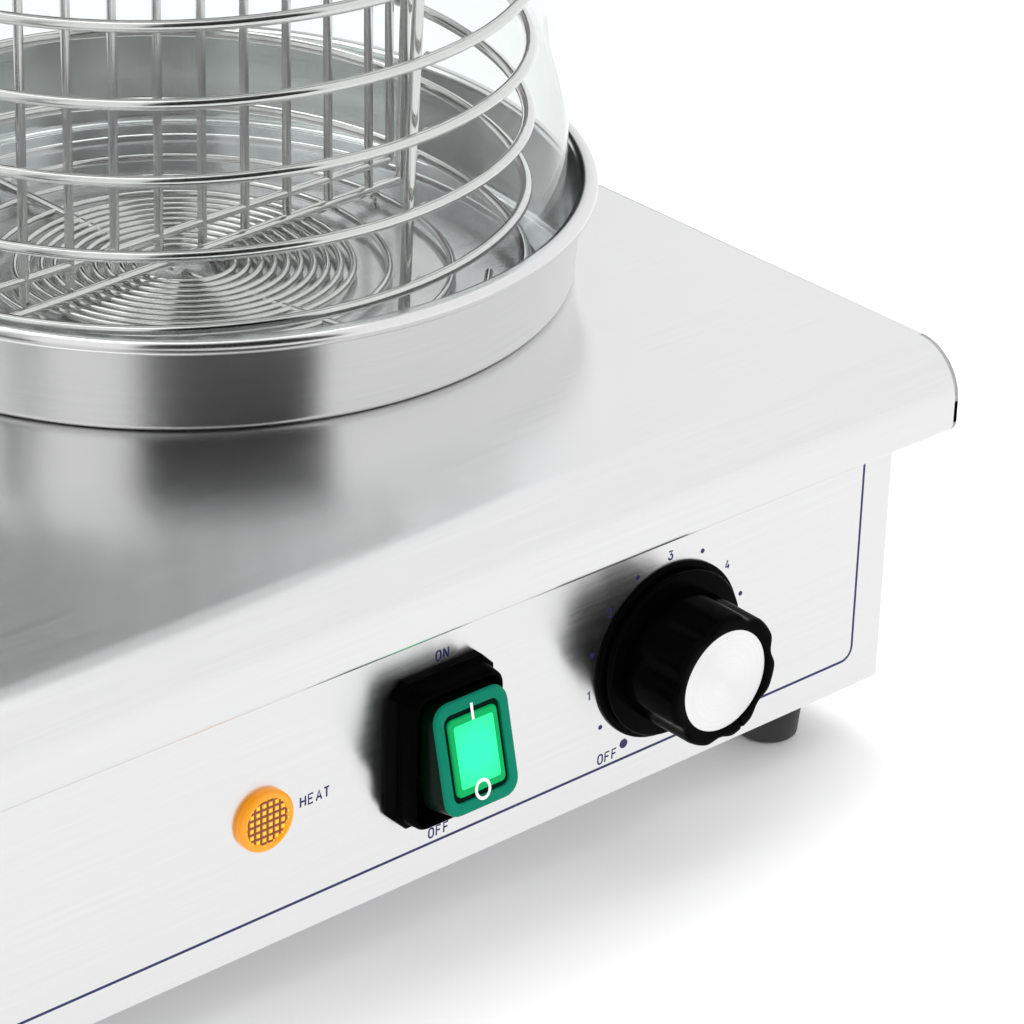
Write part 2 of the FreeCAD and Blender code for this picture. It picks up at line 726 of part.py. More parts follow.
def make_knob_grip():
    outward = V(0, -1, 0)
    rear = BEZEL_THICKNESS + KNOB_GAP
    skirt = cylinder(dial_point(rear), outward, SKIRT_RADIUS, SKIRT_FACE - rear)
    edge = [e for e in skirt.Edges if e.BoundBox.YMax < PANEL_Y - SKIRT_FACE + 0.01]
    skirt = skirt.makeFillet(0.5, edge)
    grip = cylinder(dial_point(SKIRT_FACE - 0.5), outward, GRIP_RADIUS, KNOB_OUT - SKIRT_FACE + 0.5)
    flute_axis = GRIP_RADIUS - FLUTE_DEPTH + FLUTE_RADIUS
    flutes = []
    for k in range(GRIP_LOBES):
        way = clockwise(POINTER_ANGLE + 360 / GRIP_LOBES * (k + 0.5))
        flutes.append(cylinder(dial_point(SKIRT_FACE) + way * flute_axis, outward, FLUTE_RADIUS, KNOB_OUT))
    grip = grip.cut(flutes)
    knob = skirt.fuse(grip)
    cuts = [cylinder(dial_point(rear), outward, SKIRT_HOLLOW_RADIUS, SKIRT_HOLLOW_DEPTH)]
    recess = INSERT_THICKNESS + INSERT_RECESS
    cuts.append(cylinder(dial_point(KNOB_OUT - recess), outward, INSERT_RADIUS, recess))
    cuts.append(shaft_solid(SHAFT_CLEARANCE, 0, SHAFT_OUT + 0.5))
    mark = box(DIAL_X - POINTER_WIDTH / 2, DIAL_X + POINTER_WIDTH / 2, PANEL_Y - KNOB_OUT,
               PANEL_Y - KNOB_OUT + POINTER_DEPTH, CONTROL_Z + INSERT_RADIUS - 1, CONTROL_Z + GRIP_RADIUS)
    mark.rotate(dial_point(0), V(0, 1, 0), POINTER_ANGLE)
    cuts.append(mark)
    return knob.cut(cuts)


def make_knob_insert():
    outward = V(0, -1, 0)
    start = KNOB_OUT - INSERT_THICKNESS - INSERT_RECESS
    disc = cylinder(dial_point(start), outward, INSERT_RADIUS - WELD_GAP, INSERT_THICKNESS)
    edge = [e for e in disc.Edges if e.BoundBox.YMax < PANEL_Y - start - INSERT_THICKNESS + 0.01]
    return disc.makeChamfer(0.3, edge)


def switch_block(width, height, out_from, out_to):
    """Block centred on the switch, between two distances out from the panel."""
    return box(SWITCH_X - width / 2, SWITCH_X + width / 2, PANEL_Y - out_to, PANEL_Y - out_from,
               SWITCH_Z - height / 2, SWITCH_Z + height / 2)


def rounded_switch_block(width, height, out_from, out_to, radius):
    block = switch_block(width, height, out_from, out_to)
    edges = [e for e in block.Edges if abs(e.tangentAt(0).y) > 0.99]
    return block.makeFillet(radius, edges)


def make_switch_housing():
    flange = switch_block(SWITCH_WIDTH, SWITCH_HEIGHT, 0, SWITCH_FLANGE)
    corners = [e for e in flange.Edges if abs(e.tangentAt(0).y) > 0.99]
    flange = flange.makeChamfer(SWITCH_CHAMFER, corners)
    collar = rounded_switch_block(COLLAR_WIDTH, COLLAR_HEIGHT, 0, COLLAR_OUT, ROCKER_CORNER)
    body = switch_block(CUTOUT_WIDTH - 2 * BOLT_CLEARANCE, CUTOUT_HEIGHT - 2 * BOLT_CLEARANCE,
                        -SWITCH_DEPTH, 0)
    housing = flange.fuse([collar, body])
    cavity = rounded_switch_block(COLLAR_WIDTH - 2 * COLLAR_WALL, COLLAR_HEIGHT - 2 * COLLAR_WALL,
                                  CAVITY_FLOOR, COLLAR_OUT, ROCKER_CORNER - COLLAR_WALL)
    pin_length = COLLAR_WIDTH - COLLAR_WALL / 2
    pivots = cylinder(V(SWITCH_X - pin_length / 2, PANEL_Y - ROCKER_PIVOT_OUT, SWITCH_Z), V(1, 0, 0),
                      PIVOT_RADIUS + SHAFT_CLEARANCE, pin_length)
    return housing.cut([cavity, pivots])


def rocker_local(solid):
    """Tilt a rocker piece about its pivot into the ON position."""
    solid.rotate(V(SWITCH_X, PANEL_Y - ROCKER_PIVOT_OUT, SWITCH_Z), V(1, 0, 0), -ROCKER_TILT)
    return solid


def rocker_block(width, length, low, high):
    """Rocker piece before the tilt, between two heights over the pivot."""
    face = PANEL_Y - ROCKER_PIVOT_OUT
    return box(SWITCH_X - width / 2, SWITCH_X + width / 2, face - high, face - low,
               SWITCH_Z - length / 2, SWITCH_Z + length / 2)


def rounded_across(block, radius):
    edges = [e for e in block.Edges if abs(e.tangentAt(0).y) > 0.99]
    return block.makeFillet(radius, edges)


def make_switch_rocker():
    cap = rounded_across(rocker_block(ROCKER_WIDTH, ROCKER_LENGTH, ROCKER_SHOULDER, ROCKER_RISE),
                         ROCKER_CORNER)
    front = PANEL_Y - ROCKER_PIVOT_OUT - ROCKER_RISE
    face_edges = [e for e in cap.Edges if e.BoundBox.YMax < front + 0.01]
    cap = cap.makeFillet(0.8, face_edges)
    root = rocker_block(ROCKER_WIDTH - ROCKER_SHOULDER, ROCKER_ROOT, 0, ROCKER_SHOULDER)
    pocket = rounded_across(rocker_block(LENS_WIDTH, LENS_LENGTH, ROCKER_RISE - LENS_DEPTH, ROCKER_RISE), 1.5)
    pin_length = COLLAR_WIDTH - COLLAR_WALL / 2 - 4 * SHAFT_CLEARANCE
    pin = cylinder(V(SWITCH_X - pin_length / 2, PANEL_Y - ROCKER_PIVOT_OUT, SWITCH_Z), V(1, 0, 0),
                   PIVOT_RADIUS, pin_length)
    return rocker_local(cap.fuse([root, pin]).cut(pocket))


def make_rocker_lens():
    lens = rocker_block(LENS_WIDTH - 2 * WELD_GAP, LENS_LENGTH - 2 * WELD_GAP, ROCKER_RISE - LENS_DEPTH,
                        ROCKER_RISE + LENS_PROUD)
    return rocker_local(rounded_across(lens, 1.5 - WELD_GAP))


def make_switch_terminals():
    tabs = []
    rear = PANEL_Y + SWITCH_DEPTH
    for column in (-1, 1):
        for row in (-1, 1):
            x = SWITCH_X + column * CUTOUT_WIDTH / 4
            z = SWITCH_Z + row * CUTOUT_HEIGHT / 4
            tabs.append(box(x - 0.4, x + 0.4, rear, rear + 8, z - 3.15, z + 3.15))
    return Part.makeCompound(tabs)


def lamp_point(out):
    return V(LAMP_X, PANEL_Y - out, CONTROL_Z)


def make_lamp_lens():
    outward = V(0, -1, 0)
    rim = cylinder(lamp_point(0), outward, LAMP_RADIUS, LAMP_RIM_OUT)
    edge = [e for e in rim.Edges if e.BoundBox.YMax < PANEL_Y - LAMP_RIM_OUT + 0.01]
    rim = rim.makeFillet(0.9, edge)
    dish = cylinder(lamp_point(LAMP_RIM_OUT - 0.6), outward, LAMP_FACE_RADIUS + 0.6, 1)
    face = cylinder(lamp_point(LAMP_RIM_OUT - 1), outward, LAMP_FACE_RADIUS, LAMP_FACE_OUT - LAMP_RIM_OUT + 1)
    edge = [e for e in face.Edges if e.BoundBox.YMax < PANEL_Y - LAMP_FACE_OUT + 0.01]
    return rim.cut(dish).fuse(face.makeFillet(0.4, edge))


def make_lamp_body():
    return cylinder(lamp_point(0), V(0, 1, 0), LAMP_BARREL_RADIUS, LAMP_DEPTH)


def make_lamp_nut():
    start = lamp_point(-SHEET)
    return tube(start, V(0, 1, 0), LAMP_NUT_RADIUS, LAMP_BARREL_RADIUS + WELD_GAP, LAMP_NUT_HEIGHT)


def make_water_pan():
    """Spun pan: recessed floor, ledge for the glass, slightly tapered wall and rolled rim."""
    t = PAN_THICKNESS
    foot = PAN_FOOT_RADIUS
    wall = PAN_WALL_RADIUS
    rim_z = PAN_HEIGHT - RIM_RADIUS
    rim_x = wall + RIM_REACH
    inner = PAN_CORNER - t
    s = math.sqrt(0.5)
    corner = foot - PAN_CORNER
    step = RECESS_RADIUS

    def at(x, z):
        return V(x, 0, z)

    edges = [
        line(at(0, -RECESS_DEPTH), at(step, -RECESS_DEPTH)),
        line(at(step, -RECESS_DEPTH), at(step, 0)),
        line(at(step, 0), at(corner, 0)),
        arc(at(corner, 0), at(corner + PAN_CORNER * s, PAN_CORNER * (1 - s)), at(foot, PAN_CORNER)),
        line(at(foot, PAN_CORNER), at(wall, rim_z - RIM_RADIUS)),
        line(at(wall, rim_z - RIM_RADIUS), at(rim_x, rim_z - RIM_RADIUS)),
        arc(at(rim_x, rim_z - RIM_RADIUS), at(rim_x + RIM_RADIUS, rim_z), at(rim_x, rim_z + RIM_RADIUS)),
        line(at(rim_x, rim_z + RIM_RADIUS), at(wall - t + RIM_RADIUS, rim_z + RIM_RADIUS)),
        arc(at(wall - t + RIM_RADIUS, rim_z + RIM_RADIUS),
            at(wall - t + RIM_RADIUS * (1 - s), rim_z + RIM_RADIUS * s), at(wall - t, rim_z)),
        line(at(wall - t, rim_z), at(foot - t, PAN_CORNER)),
        arc(at(foot - t, PAN_CORNER), at(corner + inner * s, t + inner * (1 - s)), at(corner, t)),
        line(at(corner, t), at(step - t, t)),
        line(at(step - t, t), at(step - t, t - RECESS_DEPTH)),
        line(at(step - t, t - RECESS_DEPTH), at(0, t - RECESS_DEPTH)),
        line(at(0, t - RECESS_DEPTH), at(0, -RECESS_DEPTH)),
    ]
    pan = revolved(edges, V(PAN_X, PAN_Y, TOP_Z))
    stud = cylinder(V(PAN_X, PAN_Y, PAN_UNDERSIDE - PAN_STUD_LENGTH), UP, PAN_STUD_RADIUS, PAN_STUD_LENGTH)
    return pan.fuse(stud)


def make_heating_element():
    """Ring element with two legs that turn down to its terminals."""
    z = PAN_UNDERSIDE - ELEMENT_TUBE
    half_gap = ELEMENT_GAP_ANGLE / 2
    start = polar(90 + half_gap, ELEMENT_RING_RADIUS, z)
    middle = polar(270, ELEMENT_RING_RADIUS, z)
    end = polar(90 - half_gap, ELEMENT_RING_RADIUS, z)
    ring = wire_along([arc(start, middle, end)], ELEMENT_TUBE)
    legs = []
    for point in (start, end):
        leg = cylinder(point - UP * ELEMENT_LEG, UP, ELEMENT_TUBE, ELEMENT_LEG)
        legs.append(leg)
    knuckles = [Part.makeSphere(ELEMENT_TUBE, point) for point in (start, end)]
    return ring.fuse(legs + knuckles)


def make_element_clamp():
    disc = cylinder(V(PAN_X, PAN_Y, CLAMP_TOP - CLAMP_THICKNESS), UP, CLAMP_RADIUS, CLAMP_THICKNESS)
    cuts = [cylinder(V(PAN_X, PAN_Y, CLAMP_TOP - CLAMP_THICKNESS), UP, PAN_STUD_RADIUS + BOLT_CLEARANCE,
                     CLAMP_THICKNESS)]
    for side in (-1, 1):
        leg = polar(90 + side * ELEMENT_GAP_ANGLE / 2, ELEMENT_RING_RADIUS, CLAMP_TOP - CLAMP_THICKNESS)
        cuts.append(cylinder(leg, UP, ELEMENT_TUBE + 0.6, CLAMP_THICKNESS))
    return disc.cut(cuts)


def make_element_nut():
    base = V(PAN_X, PAN_Y, CLAMP_TOP - CLAMP_THICKNESS - ELEMENT_NUT_HEIGHT)
    nut = hexagon(base, UP, ELEMENT_NUT_WIDTH, ELEMENT_NUT_HEIGHT)
    return nut.cut(cylinder(base, UP, PAN_STUD_RADIUS + WELD_GAP, ELEMENT_NUT_HEIGHT))


def make_safety_cutout():
    top = CLAMP_TOP - CLAMP_THICKNESS
    body = cylinder(V(PAN_X + CUTOUT_X, PAN_Y, top - CUTOUT_BODY_HEIGHT), UP, CUTOUT_BODY_RADIUS,
                    CUTOUT_BODY_HEIGHT)
    x = PAN_X + CUTOUT_X
    ear = box(x - CUTOUT_EAR_REACH, x + CUTOUT_EAR_REACH, PAN_Y - CUTOUT_EAR_HALF,
              PAN_Y + CUTOUT_EAR_HALF, top - CUTOUT_EAR_THICKNESS, top)
    tabs = []
    for side in (-1, 1):
        y = PAN_Y + side * CUTOUT_EAR_HALF
        high = top - CUTOUT_BODY_HEIGHT
        tabs.append(box(x - CUTOUT_TAB_HALF, x + CUTOUT_TAB_HALF, y - CUTOUT_TAB_SHEET / 2,
                        y + CUTOUT_TAB_SHEET / 2, high - CUTOUT_TAB_LENGTH, high))
    return body.fuse([ear] + tabs)


def make_thermostat_probe():
    """Bulb under the clamp plate and the capillary that runs to the thermostat."""
    z = CLAMP_TOP - CLAMP_THICKNESS - PROBE_RADIUS
    y = PAN_Y + PROBE_Y
    bulb = cylinder(V(PAN_X - PROBE_LENGTH / 2, y, z), V(1, 0, 0), PROBE_RADIUS, PROBE_LENGTH)
    rear_y = PANEL_INNER_Y + THERMOSTAT_DEPTH
    points = [
        V(PAN_X + PROBE_LENGTH / 2, y, z),
        V(DIAL_X + CAPILLARY_X, y, z),
        V(DIAL_X + CAPILLARY_X, y, CONTROL_Z),
        V(DIAL_X + CAPILLARY_X, rear_y, CONTROL_Z),
    ]
    capillary = wire_along(rounded_path(points, CAPILLARY_BEND), CAPILLARY_RADIUS)
    return bulb.fuse(capillary)


def make_glass_cylinder():
    return tube(V(PAN_X, PAN_Y, PAN_FLOOR), UP, GLASS_RADIUS, GLASS_RADIUS - GLASS_WALL, GLASS_HEIGHT)


def coil_height(angle):
    """Height of the wall wire's centre at an unwound angle in degrees."""
    return TOP_Z + COIL_START_HEIGHT + COIL_PITCH * (angle - COIL_START_ANGLE) / 360


def coil_radius(z):
    """The basket widens a little towards its top."""
    return COIL_RADIUS + COIL_FLARE * (z - TOP_Z) / COIL_PITCH


def coil_end_angle():
    return POST_ANGLE - 90 + 360 * COIL_TURNS


def coil_top():
    return coil_height(coil_end_angle())


def post_radius(z):
    return coil_radius(z) - SIDE_WIRE - FRAME_WIRE - WELD_GAP


def make_basket_side_coil():
    """The wound wall as one plain skin on the wire's inner side, open at both ends."""
    low = PAN_FLOOR + BODY_GAP
    high = coil_top() + SIDE_WIRE
    inner_low = coil_radius(low) - SIDE_WIRE
    inner_high = coil_radius(high) - SIDE_WIRE
    centre = V(PAN_X, PAN_Y, low)
    outer = Part.makeCone(inner_low + BASKET_SKIN, inner_high + BASKET_SKIN, high - low, centre)
    return outer.cut(Part.makeCone(inner_low, inner_high, high - low, centre))


def floor_coil_path():
    """Flat spiral of half turns: close at the centre, wide apart further out."""
    near = [SPIRAL_START + SPIRAL_PITCH * k for k in range(SPIRAL_TURNS + 1)] + list(WIDE_RINGS)
    edges = []
    for k in range(len(near) - 1):
        far = (near[k] + near[k + 1]) / 2
        edges.append(half_turn(near[k], far, 0))
        edges.append(half_turn(far, near[k + 1], 180))
    return edges


def make_basket_floor_coil():
    print("floor wire, least gap to itself", round(least_gap(floor_coil_path(), FLOOR_WIRE), 2))
    return wire_along(floor_coil_path(), FLOOR_WIRE)


def half_turn(radius_from, radius_to, turned):
    """Half a spiral turn across the pan's axis, from one side to the other."""
    start_angle = SPIRAL_ANGLE + turned
    start = polar(start_angle, radius_from, SPIRAL_Z)
    end = polar(start_angle + 180, radius_to, SPIRAL_Z)
    centre = (start + end) * 0.5
    across = math.radians(start_angle + 90)
    reach = (radius_from + radius_to) / 2
    return arc(start, centre + V(math.cos(across), math.sin(across), 0) * reach, end)


def post_points(angle):
    """Top of a post and the corner where it turns into the floor."""
    top = coil_top() + FRAME_WIRE
    return polar(angle, post_radius(top), top), polar(angle, post_radius(FRAME_Z), FRAME_Z)


def make_basket_frame():
    """Four posts whose lower ends cross the floor: one whole wire and two that butt against it."""
    top_a, corner_a = post_points(POST_ANGLE)
    top_b, corner_b = post_points(POST_ANGLE + 180)
    wires = [wire_along(rounded_path([top_a, corner_a, corner_b, top_b], POST_BEND), FRAME_WIRE)]
    butt = FRAME_WIRE + WELD_GAP
    for turned in (90, -90):
        top, corner = post_points(POST_ANGLE + turned)
        inner = polar(POST_ANGLE + turned, butt, FRAME_Z)
        wires.append(wire_along(rounded_path([top, corner, inner], POST_BEND), FRAME_WIRE))
    return Part.makeCompound(wires)


def make_basket_grips():
    """Two lifting loops inside the top turn, front and back."""
    half = GRIP_LOOP_WIDTH / 2
    loops = []
    for turned in (-90, 90):
        angle = POST_ANGLE + turned
        top_z = coil_top() + GRIP_LOOP_RISE
        low_z = coil_top() - GRIP_LOOP_DROP
        ring = coil_radius(low_z)
        plane = math.sqrt(ring * ring - half * half) - SIDE_WIRE - FRAME_WIRE - 2 * WELD_GAP
        a = math.radians(angle)
        across = V(-math.sin(a), math.cos(a), 0) * half
        low = polar(angle, plane, low_z)
        high = polar(angle, plane, top_z)
        points = [low - across, high - across, high + across, low + across]
        loops.append(wire_along(rounded_path(points, GRIP_LOOP_BEND), FRAME_WIRE))
    return Part.makeCompound(loops)


def divider_levels():
    """Heights of the divider's bottom and top bars."""
    bottom = SPIRAL_Z + FLOOR_WIRE + BODY_GAP + DIVIDER_WIRE
    return bottom, bottom + DIVIDER_HEIGHT


def make_divider_frame():
    """Closed rectangular loop of wire with round corners."""
    low, high = divider_levels()
    right = polar(DIVIDER_ANGLE, DIVIDER_HALF, low)
    left = polar(DIVIDER_ANGLE + 180, DIVIDER_HALF, low)
    lift = UP * (high - low)
    middle_low = (right + left) * 0.5
    middle_high = middle_low + lift
    lower = rounded_path([middle_high, right + lift, right, middle_low], DIVIDER_BEND)
    upper = rounded_path([middle_low, left, left + lift, middle_high], DIVIDER_BEND)
    return wire_along(lower + upper, DIVIDER_WIRE)


def make_divider_bars():
    low, high = divider_levels()
    pitch = 2 * DIVIDER_HALF / (DIVIDER_BARS + 1)
    inset = DIVIDER_WIRE + WELD_GAP
    bars = []
    for k in range(DIVIDER_BARS):
        along = -DIVIDER_HALF + pitch * (k + 1)
        base = polar(DIVIDER_ANGLE, along, low + inset)
        bars.append(cylinder(base, UP, DIVIDER_WIRE, high - low - 2 * inset))
    return Part.makeCompound(bars)


def make_lid_cover():
    """Domed lid whose flat rim lies on the glass's top edge."""
    t = SHEET
    outer = GLASS_RADIUS + LID_OVERHANG
    shelf = GLASS_RADIUS - LID_SHELF
    dome = LID_DOME
    middle = (shelf + LID_SEAT) / 2
    middle_z = dome * 0.7
    hole = LID_SCREW_RADIUS + BOLT_CLEARANCE

    def at(x, z):
        return V(x, 0, z)

    edges = [
        line(at(outer, 0), at(outer, t)),
        line(at(outer, t), at(shelf, t)),
        arc(at(shelf, t), at(middle, middle_z + t), at(LID_SEAT, dome + t)),
        line(at(LID_SEAT, dome + t), at(hole, dome + t)),
        line(at(hole, dome + t), at(hole, dome)),
        line(at(hole, dome), at(LID_SEAT, dome)),
        arc(at(LID_SEAT, dome), at(middle, middle_z), at(shelf, 0)),
        line(at(shelf, 0), at(outer, 0)),
    ]
    lid = revolved(edges, V(PAN_X, PAN_Y, GLASS_TOP))
    rim = [e for e in lid.Edges if e.BoundBox.ZLength < 0.01 and e.BoundBox.XLength > 2 * outer - 0.1]
    lid = lid.makeFillet(t * 0.4, rim)
    holes = []
    for k in range(LID_HOLES):
        centre = polar(90 + 360 / LID_HOLES * k, LID_HOLE_CIRCLE, GLASS_TOP)
        holes.append(cylinder(centre, UP, LID_HOLE_RADIUS, LID_DOME + 2 * t))
    return lid.cut(holes)


def make_lid_ring():
    """Ring under the rim that keeps the lid centred in the glass."""
    outer = GLASS_RADIUS - GLASS_WALL - LID_RING_GAP
    base = V(PAN_X, PAN_Y, GLASS_TOP - LID_RING_DEPTH)
    return tube(base, UP, outer, outer - SHEET, LID_RING_DEPTH)


def make_lid_knob():
    r = LID_KNOB_RADIUS
    h = LID_KNOB_HEIGHT
    foot = LID_KNOB_FOOT
    bore = LID_SCREW_RADIUS + WELD_GAP
    depth = LID_SCREW_LENGTH

    def at(x, z):
        return V(x, 0, z)

    edges = [
        line(at(bore, 0), at(foot, 0)),
        arc(at(foot, 0), at(foot * 0.88, h * 0.28), at(r - 2, h * 0.55)),
        arc(at(r - 2, h * 0.55), at(r, h * 0.68), at(r - 2, h * 0.84)),
        arc(at(r - 2, h * 0.84), at(r * 0.55, h * 0.96), at(LID_KNOB_FLAT, h)),
        line(at(LID_KNOB_FLAT, h), at(0, h)),
        line(at(0, h), at(0, depth)),
        line(at(0, depth), at(bore, depth)),
        line(at(bore, depth), at(bore, 0)),
    ]
    return revolved(edges, V(PAN_X, PAN_Y, GLASS_TOP + LID_DOME + SHEET))


def make_lid_screw():
    under = V(PAN_X, PAN_Y, GLASS_TOP + LID_DOME)
    head = cylinder(under - UP * 2.6, UP, LID_SCREW_HEAD, 2.6)
    return head.fuse(cylinder(under, UP, LID_SCREW_RADIUS, LID_SCREW_LENGTH))


def make_spike(x, y):
    """Aluminium spike with a rounded ogive point, a heater bore and a hollow stud."""
    r = SPIKE_RADIUS
    tip = SPIKE_TIP_RADIUS
    seat = SPIKE_SEAT_DEPTH
    shoulder = SPIKE_HEIGHT - SPIKE_TIP
    reach = SPIKE_TIP - tip
    ogive = (r * r + reach * reach - tip * tip) / (2 * (r - tip))
    lean = math.atan2(reach, ogive - r)

    def at(px, pz):
        return V(px, 0, pz - seat)

    def on_ogive(angle):
        return at(r - ogive + ogive * math.cos(angle), shoulder + ogive * math.sin(angle))

    def on_tip(angle):
        return at(tip * math.cos(angle), SPIKE_HEIGHT - tip + tip * math.sin(angle))

    edges = [
        line(at(0, 0), at(r - 0.5, 0)),
        line(at(r - 0.5, 0), at(r, 0.5)),
        line(at(r, 0.5), at(r, shoulder)),
        arc(at(r, shoulder), on_ogive(lean / 2), on_ogive(lean)),
        arc(on_ogive(lean), on_tip((lean + math.pi / 2) / 2), at(0, SPIKE_HEIGHT)),
        line(at(0, SPIKE_HEIGHT), at(0, 0)),
    ]
    base = V(x, y, COLLAR_TOP)
    sleeve = revolved(edges, base)
    seat_z = COLLAR_TOP - seat
    stud_bottom = UNDER_TOP - SPIKE_STUD_LENGTH
    stud = cylinder(V(x, y, stud_bottom), UP, SPIKE_STUD_RADIUS, seat_z - stud_bottom)
    heater_bore = cylinder(V(x, y, seat_z + 8), UP, SPIKE_BORE, CARTRIDGE_LENGTH + 4)
    lead_bore = cylinder(V(x, y, stud_bottom), UP, LEAD_BORE, seat_z + 8 - stud_bottom)
    return sleeve.fuse(stud).cut([heater_bore, lead_bore])


def make_spike_collar(x, y):
    r = SPIKE_COLLAR_RADIUS
    edges = polygon_edges([
        (SPIKE_STUD_RADIUS + BOLT_CLEARANCE, 0),
        (r, 0),
        (r, 5),
        (r - 2.5, SPIKE_COLLAR_HEIGHT - 1),
        (r - 3.5, SPIKE_COLLAR_HEIGHT),
        (SPIKE_RADIUS + BOLT_CLEARANCE, SPIKE_COLLAR_HEIGHT),
        (SPIKE_RADIUS + BOLT_CLEARANCE, SPIKE_COLLAR_HEIGHT - SPIKE_SEAT_DEPTH),
        (SPIKE_STUD_RADIUS + BOLT_CLEARANCE, SPIKE_COLLAR_HEIGHT - SPIKE_SEAT_DEPTH),
    ])
    return revolved(edges, V(x, y, TOP_Z))


def make_spike_heaters():
    heaters = []
    start = COLLAR_TOP - SPIKE_SEAT_DEPTH + 8
    for x, y in spike_places():
        heaters.append(cylinder(V(x, y, start), UP, CARTRIDGE_RADIUS, CARTRIDGE_LENGTH))
    return Part.makeCompound(heaters)


def make_spike_nuts():
    nuts = []
    for x, y in spike_places():
        base = V(x, y, UNDER_TOP - SPIKE_NUT_HEIGHT)
        nut = hexagon(base, UP, SPIKE_NUT_WIDTH, SPIKE_NUT_HEIGHT)
        nuts.append(nut.cut(cylinder(base, UP, SPIKE_STUD_RADIUS + WELD_GAP, SPIKE_NUT_HEIGHT)))
    return Part.makeCompound(nuts)


def make_terminal_block():
    block = box(BLOCK_X - BLOCK_LENGTH / 2, BLOCK_X + BLOCK_LENGTH / 2, BLOCK_Y - BLOCK_DEPTH / 2,
                BLOCK_Y + BLOCK_DEPTH / 2, TRAY_TOP, TRAY_TOP + BLOCK_HEIGHT)
    screws = []
    for k in range(5):
        x = BLOCK_X + (k - 2) * BLOCK_LENGTH / 5
        for side in (-1, 1):
            top = V(x, BLOCK_Y + side * BLOCK_DEPTH / 4, TRAY_TOP + BLOCK_HEIGHT - 6)
            screws.append(cylinder(top, UP, 2.4, 6))
    return block.cut(screws)


def make_earth_stud():
    x = BLOCK_X - BLOCK_LENGTH
    stud = cylinder(V(x, BLOCK_Y, TRAY_TOP), UP, EARTH_STUD_RADIUS, EARTH_STUD_HEIGHT)
    nut = hexagon(V(x, BLOCK_Y, TRAY_TOP), UP, EARTH_NUT_WIDTH, EARTH_NUT_HEIGHT)
    return stud.fuse(nut)


def make_wiring():
    """Leads from the terminal block to what they feed, each turning at its own depth."""
    front_y = BLOCK_Y - BLOCK_DEPTH / 2
    block_mid = TRAY_TOP + BLOCK_HEIGHT / 2
    lamp_rear = PANEL_Y + LAMP_DEPTH
    switch_rear = PANEL_Y + SWITCH_DEPTH
    stat_rear = PANEL_INNER_Y + THERMOSTAT_DEPTH
    leads = []

    def lead(points):
        leads.append(wire_along(rounded_path(points, WIRE_BEND), WIRE_RADIUS))

    def from_block(k):
        return V(BLOCK_X + (k - 2) * BLOCK_LENGTH / 5, front_y, block_mid)

    targets = [
        V(DIAL_X - STAT_TAB_OFFSET, stat_rear, CONTROL_Z - STAT_TAB_OFFSET),
        V(SWITCH_X + SWITCH_TAB_X, switch_rear, SWITCH_Z - SWITCH_TAB_Z),
        V(SWITCH_X - SWITCH_TAB_X, switch_rear, SWITCH_Z + SWITCH_TAB_Z),
        V(LAMP_X, lamp_rear, CONTROL_Z),
    ]
    for k, target in enumerate(targets):
        start = from_block(k + 1)
        turn = V(start.x, LEAD_FIRST_LEVEL + k * LEAD_LEVEL_STEP, start.z)
        lead([start, turn, V(target.x, turn.y, start.z), V(target.x, turn.y, target.z), target])
    return Part.makeCompound(leads)


def build():
    parts = {
        "top_plate": make_top_plate(),
        "body_shell": make_body_shell(),
        "rear_panel": make_rear_panel(),
        "bottom_plate": make_bottom_plate(),
        "casing_screws": make_casing_screws(),
        "foot_screws": make_foot_screws(),
        "foot_nuts": make_foot_nuts(),
        "cable_gland": make_cable_gland(),
        "gland_cap": make_gland_cap(),
        "gland_locknut": make_gland_locknut(),
        "thermostat_body": make_thermostat_body(),
        "thermostat_screws": make_thermostat_screws(),
        "thermostat_shaft": make_thermostat_shaft(),
        "thermostat_probe": make_thermostat_probe(),
        "dial_bezel": make_dial_bezel(),
        "knob_grip": make_knob_grip(),
        "knob_insert": make_knob_insert(),
        "switch_housing": make_switch_housing(),
        "switch_rocker": make_switch_rocker(),
        "rocker_lens": make_rocker_lens(),
        "switch_terminals": make_switch_terminals(),
        "lamp_lens": make_lamp_lens(),
        "lamp_body": make_lamp_body(),
        "lamp_nut": make_lamp_nut(),
        "water_pan": make_water_pan(),
        "heating_element": make_heating_element(),
        "element_clamp": make_element_clamp(),
        "element_nut": make_element_nut(),
        "safety_cutout": make_safety_cutout(),
        "glass_cylinder": make_glass_cylinder(),
        "basket_frame": make_basket_frame(),
        "basket_floor_coil": make_basket_floor_coil(),
        "basket_side_coil": make_basket_side_coil(),
        "basket_grips": make_basket_grips(),
        "divider_frame": make_divider_frame(),
        "divider_bars": make_divider_bars(),
        "lid_cover": make_lid_cover(),
        "lid_ring": make_lid_ring(),
        "lid_knob": make_lid_knob(),
        "lid_screw": make_lid_screw(),
        "spike_heaters": make_spike_heaters(),
        "spike_nuts": make_spike_nuts(),
        "terminal_block": make_terminal_block(),
        "earth_stud": make_earth_stud(),
        "wiring": make_wiring(),
    }
    for name, (x, y) in foot_places().items():
        parts[name] = make_foot(x, y)
    for k, (x, y) in enumerate(spike_places()):
        parts[f"spike_{k + 1}"] = make_spike(x, y)
        parts[f"spike_collar_{k + 1}"] = make_spike_collar(x, y)
    return parts


os.makedirs("parts", exist_ok=True)
for name, shape in build().items():
    print(name, len(shape.Solids), "solids", "valid" if shape.isValid() else "NOT VALID",
          round(shape.Volume, 1))
    shape.exportStep(f"parts/{name}.step")
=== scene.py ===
"""Hot dog spike machine: brushed stainless base, steam pan, glass, wound wire basket and bun spikes."""

import logging
import math
from collections.abc import Callable, Sequence
from dataclasses import dataclass
from enum import Enum

